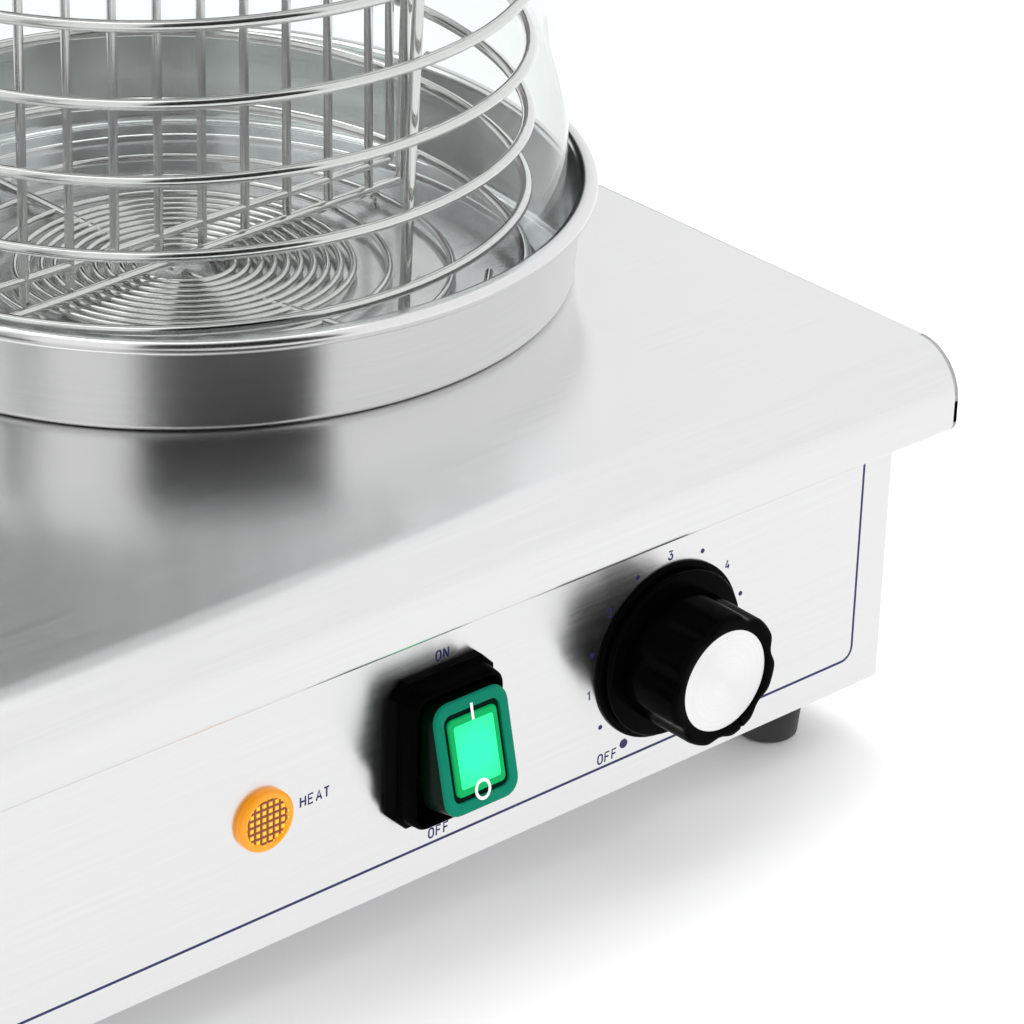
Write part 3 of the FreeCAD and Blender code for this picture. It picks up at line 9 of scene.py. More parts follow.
import bmesh
import bpy
from bmesh.types import BMesh
from mathutils import Matrix, Vector

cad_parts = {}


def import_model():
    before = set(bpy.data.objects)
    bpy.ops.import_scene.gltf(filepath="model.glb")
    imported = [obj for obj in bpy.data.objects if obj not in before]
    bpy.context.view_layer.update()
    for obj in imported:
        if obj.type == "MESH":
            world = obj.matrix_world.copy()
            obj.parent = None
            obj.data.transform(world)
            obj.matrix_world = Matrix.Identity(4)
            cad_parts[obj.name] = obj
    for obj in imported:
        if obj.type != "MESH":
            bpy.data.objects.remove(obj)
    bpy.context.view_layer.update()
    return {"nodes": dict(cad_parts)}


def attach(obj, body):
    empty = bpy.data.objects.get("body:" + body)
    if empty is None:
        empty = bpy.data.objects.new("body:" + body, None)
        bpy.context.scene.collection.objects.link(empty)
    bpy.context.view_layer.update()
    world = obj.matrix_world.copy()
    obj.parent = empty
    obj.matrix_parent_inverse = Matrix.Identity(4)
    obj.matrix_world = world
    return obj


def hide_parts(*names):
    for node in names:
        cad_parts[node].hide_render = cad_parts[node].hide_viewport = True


LOG = logging.getLogger("spike_machine")
MM = 0.001
TURN = 2 * math.pi
LINES = "lines"

Corner = tuple[float, float, float]
Point = tuple[float, float]
Colour = tuple[float, float, float]


class Body(Enum):
    """The moving bodies that pieces ride on."""

    CASING = "casing"
    KNOB = "thermostat_knob"
    ROCKER = "power_rocker"
    GLASS = "glass"
    BASKET = "basket"
    DIVIDER = "divider"
    LID = "lid"


class Lay(Enum):
    """Which way a surface's brushed or turned lines run."""

    NONE = 0
    ALONG_WIDTH = 1
    AROUND_UPRIGHT = 2
    AROUND_OUTWARD = 3


@dataclass(frozen=True)
class Datum:
    """Places that several sub-assemblies share, in millimetres."""

    half_width: float = 250.0
    front: float = -150.5
    back: float = 135.5
    panel: float = -131.9
    foot_height: float = 19.0
    top: float = 120.0
    sheet: float = 1.2
    pan_x: float = 130.7
    pan_y: float = 16.5
    control_z: float = 54.7
    pan_floor: float = 118.2
    glass_foot: float = 121.2
    glass_top: float = 361.2

    def pan_centre(self, height: float = 0.0) -> Vector:
        """Point on the pan's axis."""
        return Vector((self.pan_x, self.pan_y, height))


DATUM = Datum()


# Node trees


class Sheet:
    """A node tree with short ways to add and join its nodes."""

    def __init__(self, tree: bpy.types.NodeTree) -> None:
        """Take over a tree."""
        self.tree = tree

    def add(self, kind: str, **settings: object) -> bpy.types.Node:
        """Add a node.

        Args:
            kind: the node's type name without its ShaderNode prefix.
            settings: properties of the node.

        Returns:
            The new node.
        """
        node = self.tree.nodes.new("ShaderNode" + kind)
        for key, value in settings.items():
            setattr(node, key, value)
        return node

    def feed(self, socket: bpy.types.NodeSocket, value: object) -> None:
        """Link a socket to another one, or set its number."""
        if isinstance(value, bpy.types.NodeSocket):
            self.tree.links.new(value, socket)
        else:
            socket.default_value = value

    def math(self, operation: str, *values: object) -> bpy.types.NodeSocket:
        """Result of a math node on numbers or sockets."""
        node = self.add("Math", operation=operation)
        for socket, value in zip(node.inputs, values):
            self.feed(socket, value)
        return node.outputs[0]

    def blend(self, factor: object, first: object, second: object) -> bpy.types.NodeSocket:
        """Colour between two colours."""
        node = self.add("Mix", data_type="RGBA")
        self.feed(node.inputs["Factor"], factor)
        self.feed(node.inputs[6], first)
        self.feed(node.inputs[7], second)
        return node.outputs[2]

    def remap(self, value: object, low: float, high: float, to_low: float, to_high: float,
              smooth: bool = False) -> bpy.types.NodeSocket:
        """Value moved from one range to another and kept inside it."""
        node = self.add("MapRange", interpolation_type="SMOOTHSTEP" if smooth else "LINEAR")
        for name, number in zip(("Value", "From Min", "From Max", "To Min", "To Max"),
                                (value, low, high, to_low, to_high)):
            self.feed(node.inputs[name], number)
        return node.outputs[0]

    def noise(self, vector: object, scale: float, detail: float = 2.0) -> bpy.types.NodeSocket:
        """Grey noise from 0 to 1."""
        node = self.add("TexNoise")
        self.feed(node.inputs["Vector"], vector)
        self.feed(node.inputs["Scale"], scale)
        self.feed(node.inputs["Detail"], detail)
        return node.outputs[0]

    def bump(self, height: object, strength: float, depth: float) -> bpy.types.NodeSocket:
        """Normal bent by a height, with the depth in millimetres."""
        node = self.add("Bump")
        node.inputs["Strength"].default_value = strength
        node.inputs["Distance"].default_value = depth * MM
        self.feed(node.inputs["Height"], height)
        return node.outputs[0]


def shared_group(name: str, inputs: Sequence[tuple[str, str, float]], outputs: Sequence[str],
                 draw: Callable[[Sheet, bpy.types.Node], dict[str, object]]) -> bpy.types.NodeTree:
    """Build a named group once.

    Args:
        name: the group's name.
        inputs: name, socket type and default of each input.
        outputs: names of its number outputs.
        draw: adds the nodes and returns a socket for each output.

    Returns:
        The group's tree.
    """
    known = bpy.data.node_groups.get(name)
    if known:
        return known
    tree = bpy.data.node_groups.new(name, "ShaderNodeTree")
    for label, kind, start in inputs:
        socket = tree.interface.new_socket(label, in_out="INPUT", socket_type=kind)
        if kind == "NodeSocketFloat":
            socket.default_value = start
    for label in outputs:
        tree.interface.new_socket(label, in_out="OUTPUT", socket_type="NodeSocketFloat")
    sheet = Sheet(tree)
    source = tree.nodes.new("NodeGroupInput")
    sink = tree.nodes.new("NodeGroupOutput")
    for label, value in draw(sheet, source).items():
        sheet.feed(sink.inputs[label], value)
    return tree


def draw_brushing(sheet: Sheet, source: bpy.types.Node) -> dict[str, object]:
    """Fine lines along U, with wider bands under them."""
    split = sheet.add("SeparateXYZ")
    sheet.feed(split.inputs[0], source.outputs["Vector"])
    along = sheet.math("DIVIDE", split.outputs[0], source.outputs["Length"])
    across = sheet.math("DIVIDE", split.outputs[1], source.outputs["Width"])
    fine = sheet.add("CombineXYZ")
    sheet.feed(fine.inputs[0], along)
    sheet.feed(fine.inputs[1], across)
    wide = sheet.add("CombineXYZ")
    sheet.feed(wide.inputs[0], sheet.math("MULTIPLY", along, 0.35))
    sheet.feed(wide.inputs[1], sheet.math("MULTIPLY", across, 0.17))
    lines = sheet.noise(fine.outputs[0], 1.0, 3.0)
    bands = sheet.noise(wide.outputs[0], 1.0, 2.0)
    both = sheet.math("ADD", sheet.math("MULTIPLY", lines, 0.6), sheet.math("MULTIPLY", bands, 0.4))
    return {"Lines": both}


def draw_smudge(sheet: Sheet, source: bpy.types.Node) -> dict[str, object]:
    """Soft wiped patches, as handling leaves on a surface."""
    broad = sheet.noise(source.outputs["Vector"], 14.0, 3.0)
    close = sheet.noise(source.outputs["Vector"], 90.0, 2.0)
    mixed = sheet.math("ADD", sheet.math("MULTIPLY", broad, 0.75), sheet.math("MULTIPLY", close, 0.25))
    return {"Patches": sheet.remap(mixed, 0.35, 0.65, 0.0, 1.0, True)}


def draw_mould(sheet: Sheet, source: bpy.types.Node) -> dict[str, object]:
    """Fine spark-eroded grain of a moulded part."""
    return {"Grain": sheet.noise(source.outputs["Vector"], source.outputs["Scale"], 3.0)}


def grouped(sheet: Sheet, name: str, vector: object, **values: float) -> bpy.types.NodeSocket:
    """Place a shared group in a material.

    Args:
        sheet: the material's tree.
        name: brushing, smudge or mould.
        vector: coordinates it reads.
        values: numbers for its other inputs.

    Returns:
        Its output.
    """
    length = ("Length", "NodeSocketFloat", 0.03)
    width = ("Width", "NodeSocketFloat", 0.0003)
    scale = ("Scale", "NodeSocketFloat", 2500.0)
    place = ("Vector", "NodeSocketVector", 0.0)
    recipes = {
        "brushing": ((place, length, width), ("Lines",), draw_brushing),
        "smudge": ((place,), ("Patches",), draw_smudge),
        "mould": ((place, scale), ("Grain",), draw_mould),
    }
    inputs, outputs, draw = recipes[name]
    node = sheet.add("Group", node_tree=shared_group(name, inputs, outputs, draw))
    sheet.feed(node.inputs["Vector"], vector)
    for key, value in values.items():
        sheet.feed(node.inputs[key.capitalize()], value)
    return node.outputs[0]


def object_place(sheet: Sheet) -> bpy.types.NodeSocket:
    """The machine's own coordinates, in metres."""
    return sheet.add("TexCoord").outputs["Object"]


# Finishes


@dataclass(frozen=True)
class Finish:
    """What every finish shares: a name and one shader."""

    name: str
    colour: Colour

    def material(self) -> bpy.types.Material:
        """The finish's material, made once."""
        title = f"{self.name}_finish"
        known = bpy.data.materials.get(title)
        if known:
            return known
        made = bpy.data.materials.new(title)
        made.use_nodes = True
        made.diffuse_color = (*self.colour, 1.0)
        made.node_tree.nodes.clear()
        sheet = Sheet(made.node_tree)
        shader = sheet.add("BsdfPrincipled")
        shader.inputs["Base Color"].default_value = (*self.colour, 1.0)
        sink = sheet.add("OutputMaterial")
        sheet.feed(sink.inputs["Surface"], self.dress(sheet, shader))
        return made

    def dress(self, sheet: Sheet, shader: bpy.types.Node) -> bpy.types.NodeSocket:
        """Set the shader up and return the socket that leaves it."""
        return shader.outputs[0]


@dataclass(frozen=True)
class Metal(Finish):
    """Bare metal with lines left by brushing, turning or drawing."""

    roughness: float = 0.3
    stretch: float = 0.0
    line_length: float = 30.0
    line_width: float = 0.25
    relief: float = 0.15
    variation: float = 0.10
    smudge: float = 0.05
    depth: float = 0.10

    def dress(self, sheet: Sheet, shader: bpy.types.Node) -> bpy.types.NodeSocket:
        """Lines vary the roughness, the tone and the normal."""
        place = object_place(sheet)
        if self.stretch:
            vector = sheet.add("UVMap", uv_map=LINES).outputs[0]
            tangent = sheet.add("Tangent", direction_type="UV_MAP", uv_map=LINES)
            sheet.feed(shader.inputs["Tangent"], tangent.outputs[0])
            shader.inputs["Anisotropic"].default_value = self.stretch
            shader.inputs["Anisotropic Rotation"].default_value = 0.25
        else:
            vector = place
        lines = grouped(sheet, "brushing", vector, length=self.line_length * MM, width=self.line_width * MM)
        patches = grouped(sheet, "smudge", place)
        rough = sheet.remap(lines, 0.3, 0.7, self.roughness - self.variation, self.roughness + self.variation)
        rough = sheet.math("ADD", rough, sheet.math("MULTIPLY", patches, self.smudge))
        dark = tuple(c * (1.0 - self.depth) for c in self.colour)
        tone = sheet.remap(lines, 0.3, 0.7, 0.0, 1.0)
        sheet.feed(shader.inputs["Base Color"], sheet.blend(tone, (*dark, 1.0), (*self.colour, 1.0)))
        sheet.feed(shader.inputs["Roughness"], rough)
        sheet.feed(shader.inputs["Normal"], sheet.bump(lines, self.relief, 0.02))
        shader.inputs["Metallic"].default_value = 1.0
        return shader.outputs[0]


@dataclass(frozen=True)
class ShadedFloorMetal(Metal):
    """Turned metal whose floor carries painted shade: darker, and a little rougher, in patches near the bottom.
    """

    level: float = 0.0
    floor_shade: Colour = (0.11, 0.10, 0.095)

    def dress(self, sheet: Sheet, shader: bpy.types.Node) -> bpy.types.NodeSocket:
        """Painted shade: darken the floor's colour in patches below a level, and roughen it there."""
        leaves = super().dress(sheet, shader)
        place = object_place(sheet)
        split = sheet.add("SeparateXYZ")
        sheet.feed(split.inputs[0], place)
        low = sheet.remap(split.outputs[2], (self.level - 1.5) * MM, self.level * MM, 1.0, 0.0, True)
        shade_noise = sheet.remap(sheet.noise(place, 130.0, 4.0), 0.35, 0.65, 0.5, 1.0, True)
        shade_patches = sheet.math("MULTIPLY", low, shade_noise)
        bare = shader.inputs["Base Color"].links[0].from_socket
        # painted shade: the floor's base colour goes dark in patches, standing in for the shade and dark
        # reflections from the wires and glass above it
        sheet.feed(shader.inputs["Base Color"], sheet.blend(shade_patches, bare, (*self.floor_shade, 1.0)))
        rough = shader.inputs["Roughness"].links[0].from_socket
        sheet.feed(shader.inputs["Roughness"], sheet.math("ADD", rough, sheet.math("MULTIPLY", shade_patches, 0.06)))
        return leaves


@dataclass(frozen=True)
class Plastic(Finish):
    """Moulded plastic or rubber with a fine grain and a handled sheen."""

    roughness: float = 0.35
    grain: float = 0.15
    grain_size: float = 0.4
    coat: float = 0.0
    specular: float = 0.5
    glow: float = 0.0

    def dress(self, sheet: Sheet, shader: bpy.types.Node) -> bpy.types.NodeSocket:
        """Grain bends the normal and patches vary the sheen."""
        place = object_place(sheet)
        grain = grouped(sheet, "mould", place, scale=1.0 / (self.grain_size * MM))
        patches = grouped(sheet, "smudge", place)
        rough = sheet.remap(patches, 0.0, 1.0, self.roughness - 0.04, self.roughness + 0.06)
        pale = tuple(min(1.0, c * 1.15 + 0.001) for c in self.colour)
        sheet.feed(shader.inputs["Base Color"], sheet.blend(patches, (*self.colour, 1.0), (*pale, 1.0)))
        sheet.feed(shader.inputs["Roughness"], rough)
        sheet.feed(shader.inputs["Normal"], sheet.bump(grain, self.grain, 0.03))
        shader.inputs["Coat Weight"].default_value = self.coat
        shader.inputs["Coat Roughness"].default_value = 0.12
        shader.inputs["Specular IOR Level"].default_value = self.specular
        if self.glow:
            shader.inputs["Emission Color"].default_value = (*self.colour, 1.0)
            shader.inputs["Emission Strength"].default_value = self.glow
        return shader.outputs[0]


@dataclass(frozen=True)
class LitWindow(Finish):
    """Translucent plastic lit from behind, brightest at its middle."""

    edge: Colour = (0.0, 0.5, 0.2)
    centre: tuple[float, float, float] = (0.0, 0.0, 0.0)
    reach: float = 10.0
    strength: float = 1.0

    def dress(self, sheet: Sheet, shader: bpy.types.Node) -> bpy.types.NodeSocket:
        """A round falloff about the lamp behind the window."""
        mapping = sheet.add("Mapping", vector_type="TEXTURE")
        mapping.inputs["Location"].default_value = Vector(self.centre) * MM
        reach = self.reach * MM
        mapping.inputs["Scale"].default_value = (reach, reach, reach)
        sheet.feed(mapping.inputs["Vector"], object_place(sheet))
        ball = sheet.add("TexGradient", gradient_type="SPHERICAL")
        sheet.feed(ball.inputs[0], mapping.outputs[0])
        near = sheet.remap(ball.outputs[1], 0.0, 0.75, 0.0, 1.0, True)
        light = sheet.blend(near, (*self.edge, 1.0), (*self.colour, 1.0))
        sheet.feed(shader.inputs["Emission Color"], light)
        shader.inputs["Base Color"].default_value = (*(c * 0.5 for c in self.colour), 1.0)
        shader.inputs["Emission Strength"].default_value = self.strength
        shader.inputs["Roughness"].default_value = 0.3
        return shader.outputs[0]


@dataclass(frozen=True)
class LampGrid(Finish):
    """Amber lens whose small pyramids carry the lamp's light."""

    deep: Colour = (0.35, 0.11, 0.0)
    pitch: float = 1.85
    centre: tuple[float, float, float] = (0.0, 0.0, 0.0)
    strength: float = 1.0

    def dress(self, sheet: Sheet, shader: bpy.types.Node) -> bpy.types.NodeSocket:
        """Bright on each pyramid and brown in the valleys between them."""
        mapping = sheet.add("Mapping", vector_type="TEXTURE")
        mapping.inputs["Location"].default_value = Vector(self.centre) * MM
        cell = self.pitch * MM
        mapping.inputs["Scale"].default_value = (cell, cell, cell)
        sheet.feed(mapping.inputs["Vector"], object_place(sheet))
        split = sheet.add("SeparateXYZ")
        sheet.feed(split.inputs[0], mapping.outputs[0])
        nearness = []
        for axis in (0, 2):
            ping = sheet.math("PINGPONG", split.outputs[axis], 0.5)
            nearness.append(ping)
        valley = sheet.math("MINIMUM", nearness[0], nearness[1])
        lit = sheet.remap(valley, 0.10, 0.36, 0.0, 1.0, True)
        light = sheet.blend(lit, (*self.deep, 1.0), (*self.colour, 1.0))
        sheet.feed(shader.inputs["Emission Color"], light)
        sheet.feed(shader.inputs["Base Color"], light)
        shader.inputs["Emission Strength"].default_value = self.strength
        shader.inputs["Roughness"].default_value = 0.15
        shader.inputs["Coat Weight"].default_value = 0.6
        return shader.outputs[0]


@dataclass(frozen=True)
class ClearGlass(Finish):
    """Drawn borosilicate glass that lets light through to what stands inside."""

    def dress(self, sheet: Sheet, shader: bpy.types.Node) -> bpy.types.NodeSocket:
        """Glass for what is seen, and clear for the light that passes."""
        shader.inputs["Transmission Weight"].default_value = 1.0
        shader.inputs["IOR"].default_value = 1.25
        patches = grouped(sheet, "smudge", object_place(sheet))
        sheet.feed(shader.inputs["Roughness"], sheet.remap(patches, 0.0, 1.0, 0.0, 0.004))
        clear = sheet.add("BsdfTransparent")
        clear.inputs[0].default_value = (0.98, 0.99, 0.99, 1.0)
        path = sheet.add("LightPath")
        passing = sheet.math("MAXIMUM", path.outputs["Is Shadow Ray"], path.outputs["Is Diffuse Ray"])
        mirrored = sheet.math("SUBTRACT", path.outputs["Is Glossy Ray"], path.outputs["Is Transmission Ray"])
        passing = sheet.math("MAXIMUM", passing, mirrored)
        mix = sheet.add("MixShader")
        sheet.feed(mix.inputs[0], passing)
        sheet.feed(mix.inputs[1], shader.outputs[0])
        sheet.feed(mix.inputs[2], clear.outputs[0])
        return mix.outputs[0]


@dataclass(frozen=True)
class Ink(Finish):
    """Screen-printed ink, a little uneven over the metal's grain."""

    def dress(self, sheet: Sheet, shader: bpy.types.Node) -> bpy.types.NodeSocket:
        """Flat ink with faint mottling."""
        grain = grouped(sheet, "mould", object_place(sheet), scale=3000.0)
        pale = tuple(min(1.0, c * 1.25 + 0.01) for c in self.colour)
        sheet.feed(shader.inputs["Base Color"], sheet.blend(grain, (*self.colour, 1.0), (*pale, 1.0)))
        sheet.feed(shader.inputs["Roughness"], sheet.remap(grain, 0.0, 1.0, 0.4, 0.55))
        return shader.outputs[0]


CASING_STEEL = Metal("casing_steel", (0.83, 0.83, 0.835), roughness=0.21, stretch=0.80, line_length=30.0,
                     line_width=0.22, relief=0.035, variation=0.03, smudge=0.02, depth=0.05)
# the pan's floor carries painted shade in patches below this level
PAN_STEEL = ShadedFloorMetal("pan_steel", (0.80, 0.80, 0.80), roughness=0.19, stretch=0.80, line_length=40.0,
                         line_width=0.25, relief=0.025, variation=0.03, smudge=0.02, depth=0.05,
                         level=DATUM.pan_floor + 2.0)
PLAIN_STEEL = Metal("plain_steel", (0.62, 0.62, 0.63), roughness=0.38)
BRIGHT_WIRE = Metal("bright_wire", (0.76, 0.75, 0.74), roughness=0.12, relief=0.05, variation=0.04,
                    smudge=0.05)
ZINC = Metal("zinc_plate", (0.72, 0.73, 0.74), roughness=0.28, relief=0.05)
SPUN_ALUMINIUM = Metal("spun_aluminium", (0.93, 0.93, 0.93), roughness=0.34, stretch=0.6,
                       line_length=20.0, line_width=0.12, relief=0.10, variation=0.05, smudge=0.02)
SPIKE_ALUMINIUM = Metal("spike_aluminium", (0.86, 0.86, 0.86), roughness=0.26, stretch=0.6,
                        line_length=30.0, line_width=0.2, relief=0.08, variation=0.05)
DARK_STEEL = Metal("dark_steel", (0.22, 0.21, 0.20), roughness=0.45)
BRASS = Metal("brass_tabs", (0.78, 0.60, 0.30), roughness=0.3)
COPPER = Metal("copper_tube", (0.80, 0.45, 0.30), roughness=0.32)
KNOB_PLASTIC = Plastic("knob_plastic", (0.001, 0.001, 0.001), roughness=0.17, grain=0.05, specular=0.015)
BLACK_PLASTIC = Plastic("black_plastic", (0.02, 0.02, 0.021), roughness=0.45, grain=0.25, grain_size=0.5)
SWITCH_PLASTIC = Plastic("switch_plastic", (0.001, 0.001, 0.001), roughness=0.3, grain=0.15, specular=0.008)
TEAL_PLASTIC = Plastic("rocker_green", (0.0, 0.16, 0.095), roughness=0.22, grain=0.04, specular=0.08,
                       glow=0.25)
FLANK_PLASTIC = Plastic("rocker_flank", (0.0, 0.008, 0.003), roughness=0.3, grain=0.04, specular=0.05)
GROOVE_PLASTIC = Plastic("rocker_groove", (0.0, 0.012, 0.008), roughness=0.3, grain=0.04, specular=0.03)
BORDER_PLASTIC = Plastic("window_border", (0.0, 0.26, 0.07), roughness=0.2, grain=0.03, specular=0.1,
                         glow=0.6)
RUBBER = Plastic("foot_rubber", (0.016, 0.016, 0.016), roughness=0.65, grain=0.4, grain_size=0.7)
PALE_PLASTIC = Plastic("pale_plastic", (0.72, 0.69, 0.62), roughness=0.5)
LEAD_SLEEVE = Plastic("lead_sleeve", (0.50, 0.14, 0.06), roughness=0.6)
NAVY_INK = Ink("navy_ink", (0.001, 0.006, 0.10))
WHITE_INK = Ink("white_ink", (0.85, 0.85, 0.84))
GLASS = ClearGlass("clear_glass", (0.95, 0.98, 0.97))


# Meshes


def rounded(corners: Sequence[Corner], closed: bool = False, steps: int = 6) -> list[Point]:
    """Points of an outline whose corners are rounded.

    Args:
        corners: each corner's two places and its radius.
        closed: joins the last corner to the first.
        steps: short runs in each round.

    Returns:
        The outline's points in order.
    """
    points: list[Point] = []
    count = len(corners)
    for k, (x, y, radius) in enumerate(corners):
        here = Vector((x, y))
        if radius <= 0 or (not closed and k in (0, count - 1)):
            points.append((x, y))
            continue
        before = (Vector(corners[k - 1][:2]) - here).normalized()
        after = (Vector(corners[(k + 1) % count][:2]) - here).normalized()
        half = before.angle(after) / 2
        middle = here + (before + after).normalized() * (radius / math.sin(half))
        start = here + before * (radius / math.tan(half)) - middle
        turn = start.angle_signed(here + after * (radius / math.tan(half)) - middle)
        for n in range(steps + 1):
            spoke = start.copy()
            spoke.rotate(Matrix.Rotation(-turn * n / steps, 2))
            points.append((middle.x + spoke.x, middle.y + spoke.y))
    return points


def lathe(profile: Sequence[Point], steps: int = 192) -> BMesh:
    """Spin an open or closed profile of (radius, height) points about the upright axis."""
    bm = bmesh.new()
    verts = [bm.verts.new((r, 0.0, z)) for r, z in profile]
    edges = [bm.edges.new(pair) for pair in zip(verts, verts[1:])]
    bmesh.ops.spin(bm, geom=verts + edges, cent=(0, 0, 0), axis=(0, 0, 1), angle=TURN, steps=steps,
                   use_merge=True)
    bmesh.ops.remove_doubles(bm, verts=bm.verts, dist=1e-4)
    return bm


def ring_solid(profile: Sequence[Point], steps: int = 192) -> BMesh:
    """Spin a profile that ends where it starts."""
    return lathe([*profile, profile[0]], steps)


def loft(rings: Sequence[Sequence[Vector]], cap_first: bool = True, cap_last: bool = True) -> BMesh:
    """Bridge closed rings of equal count into one skin.

    Args:
        rings: points of each ring, in the same order round.
        cap_first: closes the first ring with a face.
        cap_last: closes the last ring with a face.

    Returns:
        The skin.
    """
    bm = bmesh.new()
    loops = [[bm.verts.new(point) for point in ring] for ring in rings]
    for first, second in zip(loops, loops[1:]):
        for k in range(len(first)):
            bm.faces.new((first[k - 1], first[k], second[k], second[k - 1]))
    for wanted, loop in ((cap_first, loops[0]), (cap_last, loops[-1])):
        if wanted:
            bm.faces.new(loop)
    return bm


def rectangle(width: float, height: float, corner: float, level: float, straight: bool = False,
              steps: int = 6) -> list[Vector]:
    """Ring of a rectangle with round or straight-cut corners at a level."""
    w, h = width / 2, height / 2
    corners = [(-w, -h, corner), (w, -h, corner), (w, h, corner), (-w, h, corner)]
    points = rounded(corners, closed=True, steps=steps)
    if straight:
        cut = []
        for k in range(0, len(points), steps + 1):
            a, b = Vector(points[k]), Vector(points[k + steps])
            cut += [a.lerp(b, n / steps) for n in range(steps + 1)]
        points = cut
    return [Vector((x, y, level)) for x, y in points]


def rounded_path(points: Sequence[Vector], radius: float, steps: int = 10) -> list[Vector]:
    """Points of a path in space whose inner corners are round."""
    path = [points[0]]
    for before, here, after in zip(points, points[1:], points[2:]):
        a = (before - here).normalized()
        b = (after - here).normalized()
        half = a.angle(b) / 2
        middle = here + (a + b).normalized() * (radius / math.sin(half))
        start = here + a * (radius / math.tan(half)) - middle
        end = here + b * (radius / math.tan(half)) - middle
        path += [middle + start.slerp(end, n / steps) for n in range(steps + 1)]
    return [*path, points[-1]]


def tube(points: Sequence[Vector], radius: float, closed: bool = False, smooth: int = 4) -> BMesh:
    """Round wire along a path."""
    curve = bpy.data.curves.new("wire", "CURVE")
    curve.dimensions = "3D"
    curve.bevel_depth = radius
    curve.bevel_resolution = smooth
    curve.use_fill_caps = True
    spline = curve.splines.new("POLY")
    spline.points.add(len(points) - 1)
    for target, point in zip(spline.points, points):
        target.co = (*point, 1.0)
    spline.use_cyclic_u = closed
    holder = bpy.data.objects.new("wire", curve)
    mesh = bpy.data.meshes.new_from_object(holder)
    bm = bmesh.new()
    bm.from_mesh(mesh)
    bmesh.ops.remove_doubles(bm, verts=bm.verts, dist=1e-4)
    bpy.data.objects.remove(holder)
    bpy.data.curves.remove(curve)
    bpy.data.meshes.remove(mesh)
    return bm


def gather(parts: Sequence[BMesh]) -> BMesh:
    """Join several meshes into one."""
    bm = bmesh.new()
    for part in parts:
        spare = bpy.data.meshes.new("spare")
        part.to_mesh(spare)
        part.free()
        bm.from_mesh(spare)
        bpy.data.meshes.remove(spare)
    return bm


def moved(bm: BMesh, place: Vector | Matrix) -> BMesh:
    """Shift or turn a whole mesh."""
    matrix = place if isinstance(place, Matrix) else Matrix.Translation(place)
    bmesh.ops.transform(bm, matrix=matrix, verts=bm.verts)
    return bm


def outward(x: float, z: float, tilt: float = 0.0, pivot: float = 0.0) -> Matrix:
    """Place of a control on the front panel, with its own Z pointing out of the panel.

    Args:
        x: across the machine.
        z: height of its axis.
        tilt: turn about the machine's width, in degrees.
        pivot: how far out of the panel the turn's axis is.

    Returns:
        The placing matrix.
    """
    place = Matrix.Translation(Vector((x, DATUM.panel - pivot, z)))
    turn = Matrix.Rotation(math.radians(tilt), 4, "X")
    return place @ turn @ Matrix.Rotation(math.radians(90), 4, "X")


@dataclass(frozen=True)
class Piece:
    """How a finished mesh joins the machine."""

    name: str
    body: Body
    slot: str
    finish: Finish
    stands_for: tuple[str, ...] = ()
    lay: Lay = Lay.NONE
    axis: tuple[float, float, float] = (0.0, 0.0, 0.0)
    crease: float = 32.0

    def lay_lines(self, mesh: bpy.types.Mesh) -> None:
        """Write the map that brushed lines follow, in metres."""
        layer = mesh.uv_layers.new(name=LINES)
        axis = Vector(self.axis) * MM
        for face in mesh.polygons:
            middle = face.center - axis
            for index in face.loop_indices:
                point = mesh.vertices[mesh.loops[index].vertex_index].co
                layer.data[index].uv = self.line_place(point, point - axis, middle, face.normal)

    def line_place(self, point: Vector, arm: Vector, middle: Vector, normal: Vector) -> Point:
        """Place along and across the lines of one corner of a face."""
        if self.lay is Lay.ALONG_WIDTH:
            if abs(normal.x) > 0.7:
                return (point.y, point.z)
            return (point.x, point.y - point.z)
        if self.lay is Lay.AROUND_UPRIGHT:
            here, centre = Vector((arm.y, arm.x)), Vector((middle.y, middle.x))
            rise = arm.z
        else:
            here, centre = Vector((arm.x, arm.z)), Vector((middle.x, middle.z))
            rise = arm.y
        start = math.atan2(centre.y, centre.x)
        turn = math.atan2(here.y, here.x) - start
        turn = (turn + math.pi) % TURN - math.pi
        return ((start + turn) * max(centre.length, 0.004), here.length + rise)

    def release(self, bm: BMesh, metres: bool = False) -> bpy.types.Object:
        """Turn a mesh into a piece that rides on its body.

        Args:
            bm: the mesh, which is freed.
            metres: says that it is already in metres.

        Returns:
            The piece.
        """
        if not metres:
            bmesh.ops.scale(bm, vec=(MM, MM, MM), verts=bm.verts)
            bmesh.ops.remove_doubles(bm, verts=bm.verts, dist=1e-7)
            bmesh.ops.recalc_face_normals(bm, faces=bm.faces)
        mesh = bpy.data.meshes.new(self.name)
        bm.to_mesh(mesh)
        bm.free()
        mesh.shade_smooth()
        mesh.set_sharp_from_angle(angle=math.radians(self.crease))
        if self.lay is not Lay.NONE:
            self.lay_lines(mesh)
        mesh.materials.append(self.finish.material())
        piece = bpy.data.objects.new(self.name, mesh)
        bpy.context.scene.collection.objects.link(piece)
        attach(piece, self.body.value)
        if self.stands_for:
            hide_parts(*self.stands_for)
        LOG.info("%s: %d faces on %s", self.name, len(mesh.polygons), self.body.value)
        return piece

    def release_copy(self, node: bpy.types.Object) -> bpy.types.Object:
        """Make the piece from a merged copy of a solid's mesh."""
        bm = bmesh.new()
        bm.from_mesh(node.data)
        bmesh.ops.remove_doubles(bm, verts=bm.verts, dist=1e-7)
        return self.release(bm, metres=True)


# Sub-assemblies


